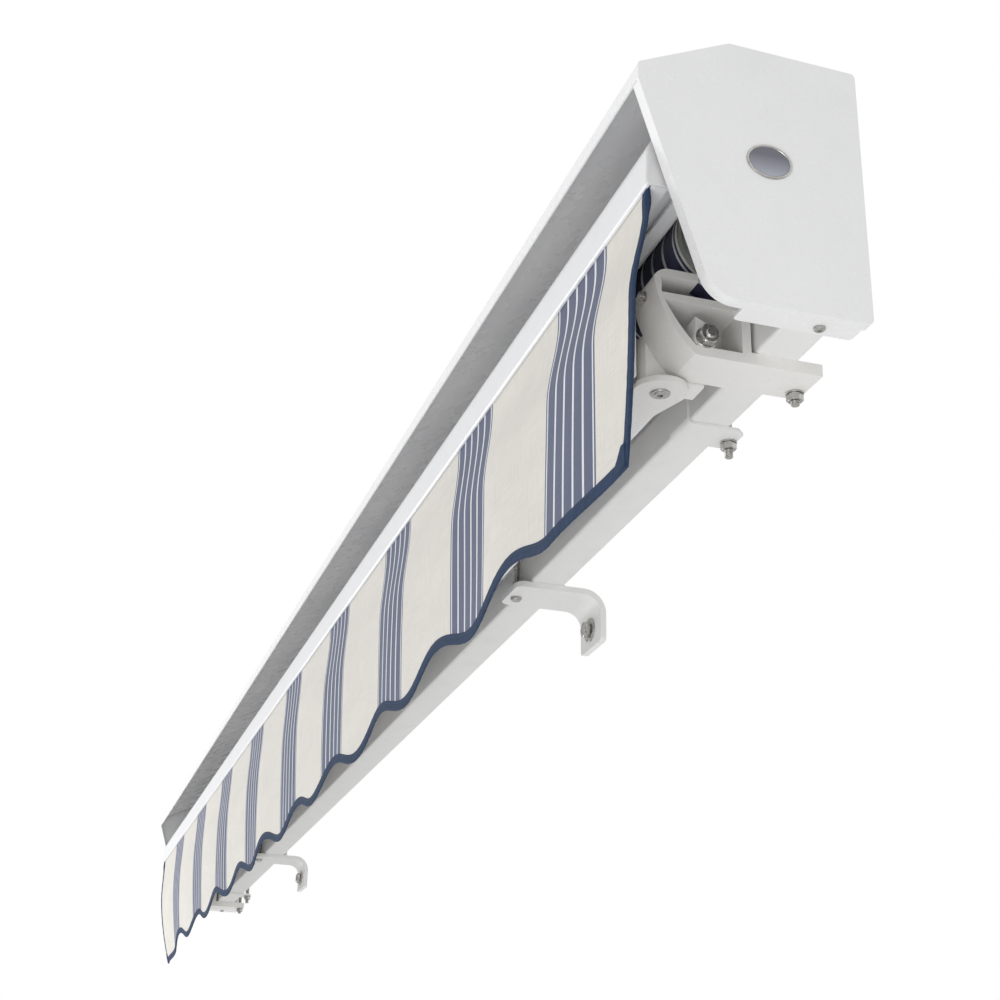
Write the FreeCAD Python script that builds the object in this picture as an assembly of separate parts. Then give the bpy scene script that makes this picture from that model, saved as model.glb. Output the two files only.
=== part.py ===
import FreeCAD, Part

import math
import os

from FreeCAD import Vector

# Retractable folding-arm awning with a rigid hood, shown fully retracted.
# X runs along the awning, +X to the right-hand end seen from the front.
# Y points into the wall, so the front is at -Y. Z is up.
# The origin is midway between the two wall bolts, on the wall plane.

# Driving dimensions, in millimetres

AWNING_LENGTH = 3048.0        # over both hood end caps
BAR_SIDE = 40.0               # square torsion bar
BAR_WALL = 2.5
BAR_CORNER = 3.5
BAR_FROM_WALL = 50.0          # wall plane to the bar's rear face
BAR_ABOVE_BOLTS = 38.0        # wall bolts to the bar's underside

HOOD_SHEET = 1.6
HOOD_BEND = 3.0
HOOD_FROM_WALL = 25.0
HOOD_HEIGHT = 200.0           # rear ridge above the bar's top
HOOD_APEX_RISE = 3.0
HOOD_APEX_FORWARD = 52.0      # ahead of the bar's front face
HOOD_FRONT_FORWARD = 134.5
HOOD_FRONT_DROP = 36.0        # lip's top below the rear ridge
HOOD_LIP = 16.0
HOOD_TAIL = 20.0              # rear leg's lower edge above the bar's top

CAP_PLATE = 3.0
CAP_RIM = 9.0
CAP_RIM_WALL = 2.5
CAP_CORNER = 30.0
CAP_TOE_FORWARD = 75.0        # where the slanted edge would meet the underside
CAP_FLANGE = 27.0
CAP_SCREW_FROM_END = 19.0
BADGE_LENGTH = 41.0
BADGE_HEIGHT = 32.0
BADGE_THICKNESS = 1.6
BADGE_FORWARD = 20.5
BADGE_UP = 91.7

ROLLER_FORWARD = 24.0         # roller axis ahead of the bar's front face
ROLLER_UP = 64.0              # roller axis above the bar's top
ROLLER_RADIUS = 39.0
ROLLER_WALL = 1.2
CLOTH_BUILD = 5.0             # wound cloth on the tube
ROLLER_END_GAP = 78.0         # tube end to the hood's outer end
CLOTH_MARGIN = 7.0            # tube end to the edge of the cloth
END_PLATE = 2.0
END_PLATE_INSET = 1.0

MOTOR_RADIUS = 22.5
MOTOR_LENGTH = 500.0
MOTOR_HEAD_RADIUS = 30.0
MOTOR_HEAD = 21.0
MOTOR_SQUARE = 14.0
IDLER_PIN_RADIUS = 6.0
BEARING_PLATE = 4.0
BEARING_PLATE_SIDE = 72.0
BEARING_POST = 10.0
BEARING_POST_RADIUS = 6.0
BEARING_HUB_RADIUS = 16.0
BEARING_HUB = 14.0

WALL_BOLT_SPACING = 1666.0
WALL_BRACKET_WIDTH = 65.0
WALL_BRACKET_PLATE = 7.0
WALL_BRACKET_NOSE = 17.0      # ahead of the bar's front face
WALL_BRACKET_BEND = 20.0
WALL_TAB_BELOW_BOLT = 22.0
WALL_SLOT_LENGTH = 27.0
WALL_SLOT_HEIGHT = 14.0
STRAP_PLATE = 5.0
STRAP_WIDTH = 36.0
STRAP_REAR_GAP = 2.0
CLAMP_BOLT_RADIUS = 4.0
CLAMP_BOLT_FORWARD = 6.0
CLAMP_BOLT_OFFSET = 6.0       # from the bracket's middle, towards the awning's middle

SADDLE_FROM_END = 235.0
SADDLE_WIDTH = 40.0
SADDLE_SHEET = 3.0
SADDLE_TAB = 16.0             # behind the bar's rear face
SADDLE_BOLT_BACK = 9.0
SADDLE_RISER = 60.0

CASTING_FROM_END = 80.0       # casting's outer face to the hood's outer end
CASTING_WIDTH = 47.0
CASTING_RIM = 6.5
CASTING_WEB = 6.5
CASTING_LEG = 11.0
CASTING_JAW = 9.0
CASTING_NOSE_FORWARD = 90.0
CASTING_NOSE_UP = 57.0        # above the bar's underside
CASTING_BACK_GAP = 4.0
CASTING_BACK_WALL = 8.0
CASTING_TAIL = 21.0           # behind the bar's rear face
CASTING_SHELF_UP = 43.0       # floor of the screw's compartment
CASTING_ROOF_UP = 58.0
CASTING_BOLT_BACK = 13.0
CASTING_BOLT_FROM_OUTER = 36.0

PITCH_AXIS_FORWARD = 45.0
PITCH_AXIS_UP = 6.0
PITCH_BOLT_RADIUS = 5.0
PITCH_SCREW_RADIUS = 4.0
PITCH_SCREW_UP = 50.0
PITCH_SCREW_FROM_OUTER = 24.0
PITCH_SCREW_STICKOUT = 4.0
PITCH_PEG_RADIUS = 4.0
BLOCK_GAP = 0.5               # pitch block to casting

SHOULDER_FROM_END = 138.0
SHOULDER_FORWARD = 62.0
SHOULDER_PIN_RADIUS = 6.5
SHOULDER_BOSS_RADIUS = 20.0
SHOULDER_EAR_RADIUS = 23.5
SHOULDER_NECK_RADIUS = 10.2
WRIST_FORWARD = 99.0
WRIST_EYE_RADIUS = 12.0
WRIST_PIN_RADIUS = 5.5
ARM_LINK = 1150.0             # pin to pin, both halves of an arm
ELBOW_EAR_RADIUS = 19.0
ELBOW_TONGUE_RADIUS = 18.0
ELBOW_PIN_RADIUS = 6.0

REAR_ARM_WIDTH = 34.0
REAR_ARM_HEIGHT = 55.0
REAR_ARM_DROP = 20.0          # below the bar's underside
REAR_ARM_FORWARD = 63.0
REAR_ARM_CORNER = 8.0
REAR_ARM_WALL = 2.5
FOREARM_WIDTH = 24.0
FOREARM_HEIGHT = 36.0
FOREARM_DROP = 12.0
FOREARM_FORWARD = 98.0
FOREARM_CORNER = 6.0
FOREARM_WALL = 2.2
ARM_SOCKET = 30.0             # casting's plug inside a tube
UPPER_EAR = 7.0
LOWER_EAR = 5.5
ELBOW_LOWER_EAR = 7.0
ELBOW_UPPER_EAR = 10.0
SPRING_RADIUS = 8.0
SPRING_LENGTH = 620.0
CABLE_RADIUS = 2.0

RAIL_FROM_END = 15.0          # rail's end cap to the hood's outer end
RAIL_SLOT_FORWARD = 118.0
RAIL_BOTTOM_UP = 59.0         # above the bar's top
RAIL_HEIGHT = 49.0
RAIL_NOSE = 4.2               # ahead of the valance slot
RAIL_BACK = 42.0              # behind the valance slot
RAIL_WALL = 2.0
RAIL_FLOOR = 12.0
RAIL_CAP = 3.0
KEDER_RADIUS = 2.2
KEDER_BORE = 2.5
SLOT_GAP = 1.8

MOUNT_THICKNESS = 16.0
MOUNT_WEB = 11.5
MOUNT_HEAD_UP = 56.0
MOUNT_LOWER_LUG = 9.0
MOUNT_STEM_WIDTH = 46.0
MOUNT_NECK = 10.0

CLOTH = 1.2
VALANCE_END_GAP = 4.0         # cloth's upper corner to the rail's end
VALANCE_SIDE_LEAN = 7.0       # side edge halfway down, in from the upper corner
VALANCE_CORNER_LEAN = 27.0    # lower corner, in from the upper one
VALANCE_DROP = 222.0          # rail's underside to the middle of the scallops
VALANCE_CORNER_DROP = 235.0
VALANCE_SWING = 10.0          # cloth's furthest reach ahead of its slot
VALANCE_SWING_DROP = 95.0     # rail's underside to that reach
VALANCE_HEM_SWING = 8.0       # lower edge ahead of the slot
SCALLOPS = 10
SCALLOP_DEPTH = 12.0
SCALLOP_FLAT = 172.0          # straight end of the lower edge, corner to first trough
BINDING_WIDTH = 13.0
BINDING_THICKNESS = 2.2
HEM_LENGTH = 38.0

PIN_CLEARANCE = 0.1
OPEN_PIVOT_CLEARANCE = 0.6
RUNNING_GAP = 0.5
SEAT_GAP = 0.1
WASHER = 1.5

# Places that follow from the driving dimensions

HALF = AWNING_LENGTH / 2
BAR_HALF = HALF - CAP_PLATE
BAR_REAR = -BAR_FROM_WALL
BAR_FRONT = BAR_REAR - BAR_SIDE
BAR_BOTTOM = BAR_ABOVE_BOLTS
BAR_TOP = BAR_BOTTOM + BAR_SIDE
TUBE_HALF = HALF - ROLLER_END_GAP
CLOTH_HALF = TUBE_HALF - CLOTH_MARGIN
CASTING_OUTER = HALF - CASTING_FROM_END
CASTING_INNER = CASTING_OUTER - CASTING_WIDTH
RAIL_HALF = HALF - RAIL_FROM_END - RAIL_CAP
VALANCE_HALF = RAIL_HALF - VALANCE_END_GAP


def ahead(distance):
    """Y of a point this far ahead of the bar's front face."""
    return BAR_FRONT - distance


def behind(distance):
    """Y of a point this far behind the bar's rear face."""
    return BAR_REAR + distance


def above(height):
    """Z of a point this far above the bar's top face."""
    return BAR_TOP + height


def low(height):
    """Z of a point this far above the bar's underside."""
    return BAR_BOTTOM + height


ROLLER_Y = ahead(ROLLER_FORWARD)
ROLLER_Z = above(ROLLER_UP)
SHOULDER_X = HALF - SHOULDER_FROM_END
SHOULDER_Y = ahead(SHOULDER_FORWARD)
WRIST_Y = ahead(WRIST_FORWARD)
ELBOW_Y = (SHOULDER_Y + WRIST_Y) / 2
ELBOW_X = SHOULDER_X - math.sqrt(ARM_LINK ** 2 - (SHOULDER_Y - ELBOW_Y) ** 2)
PITCH_Y = ahead(PITCH_AXIS_FORWARD)
PITCH_Z = low(PITCH_AXIS_UP)
REAR_ARM_Y = ahead(REAR_ARM_FORWARD)
REAR_ARM_LOW = low(-REAR_ARM_DROP)
REAR_ARM_HIGH = REAR_ARM_LOW + REAR_ARM_HEIGHT
FOREARM_Y = ahead(FOREARM_FORWARD)
FOREARM_LOW = low(-FOREARM_DROP)
FOREARM_HIGH = FOREARM_LOW + FOREARM_HEIGHT
RAIL_SLOT_Y = ahead(RAIL_SLOT_FORWARD)
RAIL_BOTTOM = above(RAIL_BOTTOM_UP)


# Shape helpers

def closed_face(steps, place):
    """Face inside an outline: a start point, then line ends or (through, end) pairs for arcs."""
    first = place(*steps[0])
    here = first
    edges = []
    for step in steps[1:]:
        if isinstance(step[0], tuple):
            end = place(*step[1])
            edges.append(Part.Arc(here, place(*step[0]), end).toShape())
        else:
            end = place(*step)
            edges.append(Part.LineSegment(here, end).toShape())
        here = end
    if here.distanceToPoint(first) > 1e-6:
        edges.append(Part.LineSegment(here, first).toShape())
    return Part.Face(Part.Wire(edges))


def prism_x(steps, x0, x1):
    """Outline of (y, z) points, extruded from x0 to x1."""
    return closed_face(steps, lambda y, z: Vector(x0, y, z)).extrude(Vector(x1 - x0, 0, 0))


def prism_z(steps, z0, z1):
    """Outline of (x, y) points, extruded from z0 to z1."""
    return closed_face(steps, lambda x, y: Vector(x, y, z0)).extrude(Vector(0, 0, z1 - z0))


def prism_y(steps, y0, y1):
    """Outline of (x, z) points, extruded from y0 to y1."""
    return closed_face(steps, lambda x, z: Vector(x, y0, z)).extrude(Vector(0, y1 - y0, 0))


def box(x0, x1, y0, y1, z0, z1):
    return Part.makeBox(x1 - x0, y1 - y0, z1 - z0, Vector(x0, y0, z0))


def rod_x(x0, x1, y, z, radius):
    return Part.makeCylinder(radius, x1 - x0, Vector(x0, y, z), Vector(1, 0, 0))


def rod_y(y0, y1, x, z, radius):
    return Part.makeCylinder(radius, y1 - y0, Vector(x, y0, z), Vector(0, 1, 0))


def rod_z(z0, z1, x, y, radius):
    return Part.makeCylinder(radius, z1 - z0, Vector(x, y, z0), Vector(0, 0, 1))


def hexagon(across, place, run):
    """Hexagonal prism of a nut or a bolt head, two flats square to the first direction."""
    radius = across / math.sqrt(3)
    corners = []
    for i in range(6):
        turn = math.radians(60 * i + 30)
        corners.append((radius * math.cos(turn), radius * math.sin(turn)))
    return closed_face(corners, place).extrude(run)


def hex_z(x, y, z0, z1, across):
    return hexagon(across, lambda u, v: Vector(x + u, y + v, z0), Vector(0, 0, z1 - z0))


def hex_x(x0, x1, y, z, across):
    return hexagon(across, lambda u, v: Vector(x0, y + v, z + u), Vector(x1 - x0, 0, 0))


def hex_y(y0, y1, x, z, across):
    return hexagon(across, lambda u, v: Vector(x + v, y0, z + u), Vector(0, y1 - y0, 0))


def rounded(corners):
    """Outline steps of a polygon given as (a, b, radius) corners."""
    steps = []
    count = len(corners)
    for i in range(count):
        a, b, radius = corners[i]
        if radius == 0:
            steps.append((a, b))
            continue
        back = unit(corners[i - 1][0] - a, corners[i - 1][1] - b)
        on = unit(corners[(i + 1) % count][0] - a, corners[(i + 1) % count][1] - b)
        half = math.acos(back[0] * on[0] + back[1] * on[1]) / 2
        reach = radius / math.tan(half)
        middle = unit(back[0] + on[0], back[1] + on[1])
        inset = radius / math.sin(half) - radius
        steps.append((a + back[0] * reach, b + back[1] * reach))
        steps.append(((a + middle[0] * inset, b + middle[1] * inset),
                      (a + on[0] * reach, b + on[1] * reach)))
    return steps


def unit(a, b):
    size = math.hypot(a, b)
    return a / size, b / size


def rectangle(a0, a1, b0, b1, radius=0):
    return rounded([(a0, b0, radius), (a1, b0, radius), (a1, b1, radius), (a0, b1, radius)])


def tangent_hull(a, b, radius_a, c, d, radius_c):
    """Outline round two circles, centred (a, b) and (c, d), and their outer tangents."""
    heading = math.atan2(d - b, c - a)
    spread = math.acos((radius_a - radius_c) / math.hypot(c - a, d - b))

    def on_first(turn):
        return a + radius_a * math.cos(turn), b + radius_a * math.sin(turn)

    def on_second(turn):
        return c + radius_c * math.cos(turn), d + radius_c * math.sin(turn)

    return [on_first(heading + spread),
            (on_first(heading + math.pi), on_first(heading - spread)),
            on_second(heading - spread),
            (on_second(heading), on_second(heading + spread))]


def bent_sheet(path, thickness, bend):
    """Outline of a sheet folded along a path; thickness > 0 lies to the path's left."""
    side = math.copysign(1, thickness)
    gauge = abs(thickness)
    face = [path[0]]
    back = []
    normals = []
    for i in range(len(path) - 1):
        run = unit(path[i + 1][0] - path[i][0], path[i + 1][1] - path[i][1])
        normals.append((-run[1] * side, run[0] * side))
    back.append(shifted(path[0], normals[0], gauge))
    for i in range(1, len(path) - 1):
        before, after = normals[i - 1], normals[i]
        along = (before[1] * side, -before[0] * side)
        turn = along[0] * after[0] + along[1] * after[1]
        inner = 1 if turn < 0 else -1
        radius = bend + gauge if inner > 0 else bend
        angle = math.acos(before[0] * after[0] + before[1] * after[1])
        reach = radius * math.tan(angle / 2)
        onward = (after[1] * side, -after[0] * side)
        start = shifted(path[i], along, -reach)
        end = shifted(path[i], onward, reach)
        centre = shifted(start, before, inner * radius)
        middle = unit(before[0] + after[0], before[1] + after[1])
        face.append(start)
        face.append((shifted(centre, middle, -inner * radius), end))
        back.append(shifted(start, before, gauge))
        back.append((shifted(centre, middle, -inner * radius + gauge), shifted(end, after, gauge)))
    face.append(path[-1])
    back.append(shifted(path[-1], normals[-1], gauge))
    return face + reversed_steps(back)


def shifted(point, direction, distance):
    return point[0] + direction[0] * distance, point[1] + direction[1] * distance


def reversed_steps(steps):
    """The same outline steps, walked from the last end to the first point."""
    ends = [step[1] if isinstance(step[0], tuple) else step for step in steps]
    turned = [ends[-1]]
    for i in range(len(steps) - 1, 0, -1):
        if isinstance(steps[i][0], tuple):
            turned.append((steps[i][0], ends[i - 1]))
        else:
            turned.append(ends[i - 1])
    return turned


def mirrored(shape):
    return shape.mirror(Vector(0, 0, 0), Vector(1, 0, 0))


def both_ends(shapes):
    """Solids of the right-hand end with their mirror images."""
    return shapes + [mirrored(shape) for shape in shapes]


def save(node, shapes):
    """One node's file: a single solid, or a group of separate ones."""
    solid = shapes if isinstance(shapes, Part.Shape) else Part.makeCompound(shapes)
    solid.exportStep("parts/" + node + ".step")


def save_pair(name, shape):
    save(name + "_right", shape)
    save(name + "_left", mirrored(shape))


# Torsion bar

def torsion_bar():
    outer = prism_x(rectangle(BAR_FRONT, BAR_REAR, BAR_BOTTOM, BAR_TOP, BAR_CORNER), -BAR_HALF, BAR_HALF)
    inner = prism_x(rectangle(BAR_FRONT + BAR_WALL, BAR_REAR - BAR_WALL, BAR_BOTTOM + BAR_WALL,
                              BAR_TOP - BAR_WALL, BAR_CORNER - BAR_WALL), -BAR_HALF, BAR_HALF)
    tube = outer.cut(inner)
    for x in (CAP_SCREW_X, -CAP_SCREW_X):
        tube = tube.cut(rod_z(BAR_BOTTOM - 1, BAR_BOTTOM + BAR_WALL + 1, x, CAP_SCREW_Y,
                              CAP_SCREW_RADIUS + SEAT_GAP))
    return tube


# Hood: folded cover sheet, end caps, badge and screws

HOOD_REAR = -HOOD_FROM_WALL
HOOD_REAR_TOP = above(HOOD_HEIGHT)
HOOD_APEX = (ahead(HOOD_APEX_FORWARD), HOOD_REAR_TOP + HOOD_APEX_RISE)
HOOD_LIP_TOP = (ahead(HOOD_FRONT_FORWARD), HOOD_REAR_TOP - HOOD_FRONT_DROP)
HOOD_LIP_LOW = (HOOD_LIP_TOP[0], HOOD_LIP_TOP[1] - HOOD_LIP)
CAP_SCREW_X = HALF - CAP_SCREW_FROM_END
CAP_SCREW_Y = BAR_REAR - 14.0
CAP_SCREW_RADIUS = 2.4


def hood_cover():
    path = [HOOD_LIP_LOW, HOOD_LIP_TOP, HOOD_APEX, (HOOD_REAR, HOOD_REAR_TOP), (HOOD_REAR, above(HOOD_TAIL))]
    return prism_x(bent_sheet(path, -HOOD_SHEET, HOOD_BEND), -BAR_HALF, BAR_HALF)


def cap_outline(inset):
    """The end cap's outline, drawn in from its edge by the inset."""
    floor = BAR_BOTTOM - CAP_PLATE
    slope = math.hypot(HOOD_LIP_LOW[0] - ahead(CAP_TOE_FORWARD), HOOD_LIP_LOW[1] - floor)
    lean = inset * slope / (HOOD_LIP_LOW[1] - floor)
    toe = (ahead(CAP_TOE_FORWARD) - HOOD_LIP_LOW[0]) / (HOOD_LIP_LOW[1] - floor) * inset
    corner = max(HOOD_BEND + HOOD_SHEET - inset, 0.5)
    return rounded([
        (HOOD_REAR - inset, floor + inset, corner),
        (HOOD_REAR - inset, HOOD_REAR_TOP - inset, corner),
        (HOOD_APEX[0], HOOD_APEX[1] - inset, corner),
        (HOOD_LIP_TOP[0] + inset, HOOD_LIP_TOP[1] - inset * 0.6, corner),
        (HOOD_LIP_LOW[0] + inset, HOOD_LIP_LOW[1] - inset * 0.4, corner / 3),
        (ahead(CAP_TOE_FORWARD) + lean - toe, floor + inset, CAP_CORNER - inset)])


def end_cap():
    inner = HALF - CAP_PLATE
    plate = prism_x(cap_outline(0), inner, HALF)
    ring = prism_x(cap_outline(0), inner - CAP_RIM, inner).cut(
        prism_x(cap_outline(CAP_RIM_WALL), inner - CAP_RIM, inner))
    bottom_zone = box(inner - CAP_RIM, inner, HOOD_LIP_LOW[0] - 1, 0, BAR_BOTTOM - 10, above(HOOD_TAIL - 1))
    front_zone = box(inner - CAP_RIM, inner, HOOD_LIP_LOW[0] - 1, ahead(40), BAR_BOTTOM, HOOD_LIP_LOW[1] - 1)
    ledge = prism_x(cap_outline(HOOD_SHEET + RUNNING_GAP), inner - CAP_RIM, inner).cut(
        prism_x(cap_outline(HOOD_SHEET + RUNNING_GAP + CAP_RIM_WALL), inner - CAP_RIM, inner))
    roof_zone = box(inner - CAP_RIM, inner, HOOD_LIP_TOP[0], 0, HOOD_LIP_LOW[1] + 4, HOOD_APEX[1])
    flange = prism_z(rectangle(inner - CAP_FLANGE, inner, ahead(CAP_TOE_FORWARD - CAP_CORNER), behind(20), 4),
                     BAR_BOTTOM - CAP_PLATE, BAR_BOTTOM)
    cap = plate.fuse([ring.common(bottom_zone.fuse(front_zone)), ledge.common(roof_zone), flange])
    cap = cap.fuse(bearing_posts())
    return cap.cut(rod_z(BAR_BOTTOM - 5, BAR_BOTTOM, CAP_SCREW_X, CAP_SCREW_Y,
                         CAP_SCREW_RADIUS + SEAT_GAP)).removeSplitter()


def bearing_places():
    """Centres of the four posts that hold a bearing plate, as (y, z)."""
    arm = BEARING_PLATE_SIDE / 2 - BEARING_POST_RADIUS - 2
    return [(ROLLER_Y + sy * arm, ROLLER_Z + sz * arm) for sy in (-1, 1) for sz in (-1, 1)]


def bearing_posts():
    inner = HALF - CAP_PLATE
    return [rod_x(inner - BEARING_POST, inner, y, z, BEARING_POST_RADIUS).cut(
        rod_x(inner - BEARING_POST, inner - 2, y, z, 2.0)) for y, z in bearing_places()]


def badge():
    centre = Vector(HALF, ahead(BADGE_FORWARD), above(BADGE_UP))
    rim = Part.Ellipse(centre + Vector(0, BADGE_LENGTH / 2, 0), centre + Vector(0, 0, BADGE_HEIGHT / 2), centre)
    disc = Part.Face(Part.Wire(rim.toShape())).extrude(Vector(BADGE_THICKNESS, 0, 0))
    outer_edge = [edge for edge in disc.Edges if edge.BoundBox.XMin > HALF + BADGE_THICKNESS - 0.01]
    return disc.makeFillet(BADGE_THICKNESS * 0.6, outer_edge)


def cap_screw():
    seat = BAR_BOTTOM - CAP_PLATE
    head = rod_z(seat - 3.2, seat, CAP_SCREW_X, CAP_SCREW_Y, 5.0)
    recess = hex_z(CAP_SCREW_X, CAP_SCREW_Y, seat - 3.2, seat - 1.6, 4.0)
    shank = rod_z(seat, BAR_BOTTOM + 10, CAP_SCREW_X, CAP_SCREW_Y, CAP_SCREW_RADIUS)
    return head.cut(recess).fuse(shank)


# Wall brackets, their straps over the bar and the clamp bolts

BRACKET_X = WALL_BOLT_SPACING / 2
CLAMP_X = BRACKET_X - CLAMP_BOLT_OFFSET
CLAMP_Y = ahead(CLAMP_BOLT_FORWARD)


def wall_bracket():
    x0 = BRACKET_X - WALL_BRACKET_WIDTH / 2
    x1 = BRACKET_X + WALL_BRACKET_WIDTH / 2
    nose = ahead(WALL_BRACKET_NOSE)
    path = [(nose, BAR_BOTTOM), (0, BAR_BOTTOM), (0, -WALL_TAB_BELOW_BOLT)]
    plate = prism_x(bent_sheet(path, -WALL_BRACKET_PLATE, WALL_BRACKET_BEND), x0, x1)
    plan = prism_z(rounded([(x0, nose, 10), (x1, nose, 10), (x1, 1, 0), (x0, 1, 0)]),
                   -WALL_TAB_BELOW_BOLT, BAR_BOTTOM)
    face = prism_y(rounded([(x0, -WALL_TAB_BELOW_BOLT, 5), (x1, -WALL_TAB_BELOW_BOLT, 5),
                            (x1, BAR_BOTTOM, 0), (x0, BAR_BOTTOM, 0)]), nose, 0)
    slot = prism_y(rectangle(BRACKET_X - WALL_SLOT_LENGTH / 2, BRACKET_X + WALL_SLOT_LENGTH / 2,
                             -WALL_SLOT_HEIGHT / 2, WALL_SLOT_HEIGHT / 2, WALL_SLOT_HEIGHT / 2 - 0.01),
                   -WALL_BRACKET_PLATE - 1, 1)
    bolt_hole = rod_z(BAR_BOTTOM - WALL_BRACKET_PLATE - 1, BAR_BOTTOM + 1, CLAMP_X, CLAMP_Y,
                      CLAMP_BOLT_RADIUS + RUNNING_GAP)
    return plate.common(plan).common(face).cut(slot).cut(bolt_hole)


def bracket_strap():
    x0 = CLAMP_X - STRAP_WIDTH / 2
    x1 = CLAMP_X + STRAP_WIDTH / 2
    rear = behind(STRAP_REAR_GAP + STRAP_PLATE)
    path = [(ahead(WALL_BRACKET_NOSE), BAR_TOP + STRAP_PLATE), (rear, BAR_TOP + STRAP_PLATE),
            (rear, BAR_BOTTOM)]
    strap = prism_x(bent_sheet(path, -STRAP_PLATE, 2.0), x0, x1)
    plan = prism_z(rounded([(x0, ahead(WALL_BRACKET_NOSE), 8), (x1, ahead(WALL_BRACKET_NOSE), 8),
                            (x1, rear, 0), (x0, rear, 0)]), BAR_BOTTOM, BAR_TOP + STRAP_PLATE)
    return strap.common(plan).cut(rod_z(BAR_TOP - 1, BAR_TOP + STRAP_PLATE + 1, CLAMP_X, CLAMP_Y,
                                        CLAMP_BOLT_RADIUS + RUNNING_GAP))


def bracket_bolt():
    """Domed head below the plate, nut and washer on the strap."""
    under = BAR_BOTTOM - WALL_BRACKET_PLATE
    top = BAR_TOP + STRAP_PLATE
    head = rod_z(under - 4.5, under, CLAMP_X, CLAMP_Y, 6.5)
    shank = rod_z(under, top + WASHER + 8.5, CLAMP_X, CLAMP_Y, CLAMP_BOLT_RADIUS)
    washer = rod_z(top, top + WASHER, CLAMP_X, CLAMP_Y, 8.0)
    nut = hex_z(CLAMP_X, CLAMP_Y, top + WASHER, top + WASHER + 6.5, 13.0)
    return head.fuse([shank, washer, nut])


# Saddles on the bar that hold the hood's rear leg

SADDLE_X = HALF - SADDLE_FROM_END
SADDLE_BOLT_X = SADDLE_X - 5.0
SADDLE_BOLT_Y = behind(SADDLE_BOLT_BACK)


def saddle_plate():
    x0 = SADDLE_X - SADDLE_WIDTH / 2
    x1 = SADDLE_X + SADDLE_WIDTH / 2
    front = ahead(SADDLE_SHEET)
    bottom = BAR_BOTTOM - SADDLE_SHEET
    path = [(front, BAR_TOP), (front, bottom), (behind(SADDLE_TAB), bottom)]
    sheet = prism_x(bent_sheet(path, SADDLE_SHEET, BAR_CORNER), x0, x1)
    plan = prism_z([(x0, front - 1), (x1, front - 1), (x1, behind(SADDLE_TAB - 8)), (x1 - 8, behind(SADDLE_TAB)),
                    (x0 + 8, behind(SADDLE_TAB)), (x0, behind(SADDLE_TAB - 8))], bottom, BAR_TOP)
    return sheet.common(plan).cut(saddle_hole())


def saddle_hole():
    return rod_z(BAR_BOTTOM - 10, BAR_TOP + 10, SADDLE_BOLT_X, SADDLE_BOLT_Y, CLAMP_BOLT_RADIUS + RUNNING_GAP)


def hood_support():
    """Angle on the bar's top; its upright leg carries the hood's rear leg."""
    x0 = SADDLE_X - SADDLE_WIDTH / 2
    x1 = SADDLE_X + SADDLE_WIDTH / 2
    upright = HOOD_REAR - HOOD_SHEET
    path = [(ahead(SADDLE_SHEET), BAR_TOP), (upright, BAR_TOP), (upright, above(SADDLE_RISER))]
    sheet = prism_x(bent_sheet(path, SADDLE_SHEET, 3.0), x0, x1)
    face = prism_y(rounded([(x0, BAR_TOP, 0), (x1, BAR_TOP, 0), (x1, above(SADDLE_RISER), 8),
                            (x0, above(SADDLE_RISER), 8)]), ahead(SADDLE_SHEET), upright)
    return sheet.common(face).cut(saddle_hole())


def saddle_bolt():
    """Bolt behind the bar, head on the support, nut and washer under the saddle."""
    top = BAR_TOP + SADDLE_SHEET
    under = BAR_BOTTOM - SADDLE_SHEET
    head = hex_z(SADDLE_BOLT_X, SADDLE_BOLT_Y, top, top + 5.3, 13.0)
    shank = rod_z(under - 16, top, SADDLE_BOLT_X, SADDLE_BOLT_Y, CLAMP_BOLT_RADIUS)
    washer = rod_z(under - WASHER, under, SADDLE_BOLT_X, SADDLE_BOLT_Y, 8.0)
    nut = hex_z(SADDLE_BOLT_X, SADDLE_BOLT_Y, under - WASHER - 6.5, under - WASHER, 13.0)
    return head.fuse([shank, washer, nut])


# Shoulder casting: a ribbed pocket ahead of the bar, clamped over and under it

CASTING_BOLT_X = CASTING_OUTER - CASTING_BOLT_FROM_OUTER
CASTING_BOLT_Y = behind(CASTING_BOLT_BACK)
CASTING_BACK = ahead(CASTING_BACK_GAP)
CASTING_NOSE = ahead(CASTING_NOSE_FORWARD)
SCREW_X = CASTING_OUTER - PITCH_SCREW_FROM_OUTER
SCREW_Z = low(PITCH_SCREW_UP)
PIVOT_BOSS_RADIUS = 10.0
PIVOT_NUT = 16.0
FRONT_CURVE = ((76.0, 15.0), (55.0, -10.0))


def front_curve(inset):
    """Curved front face of the casting, as an arc step, drawn back by the inset."""
    through, end = FRONT_CURVE
    return ((ahead(through[0] - inset * 0.86), low(through[1] + inset * 0.5)),
            (ahead(end[0] - inset * 0.3), low(end[1] + inset)))


def casting_outline():
    tail = behind(CASTING_TAIL)
    nose_in = CASTING_NOSE + CASTING_RIM
    return [(tail, low(-CASTING_LEG)), (tail, BAR_BOTTOM), (CASTING_BACK, BAR_BOTTOM),
            (CASTING_BACK, BAR_TOP), (tail, BAR_TOP), (tail, above(CASTING_JAW)),
            (CASTING_BACK - CASTING_BACK_WALL + 2, above(CASTING_JAW)),
            (CASTING_BACK - CASTING_BACK_WALL, low(CASTING_SHELF_UP)),
            (nose_in, low(CASTING_SHELF_UP)), (nose_in, low(CASTING_ROOF_UP)),
            (ahead(50), low(CASTING_ROOF_UP)), (ahead(50), low(CASTING_ROOF_UP + CASTING_RIM + 1)),
            (ahead(76), low(CASTING_ROOF_UP + CASTING_RIM + 1)),
            ((ahead(CASTING_NOSE_FORWARD - 4), low(CASTING_NOSE_UP + 5)), (CASTING_NOSE, low(CASTING_NOSE_UP))),
            front_curve(0), (ahead(50), low(-CASTING_LEG))]


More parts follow.
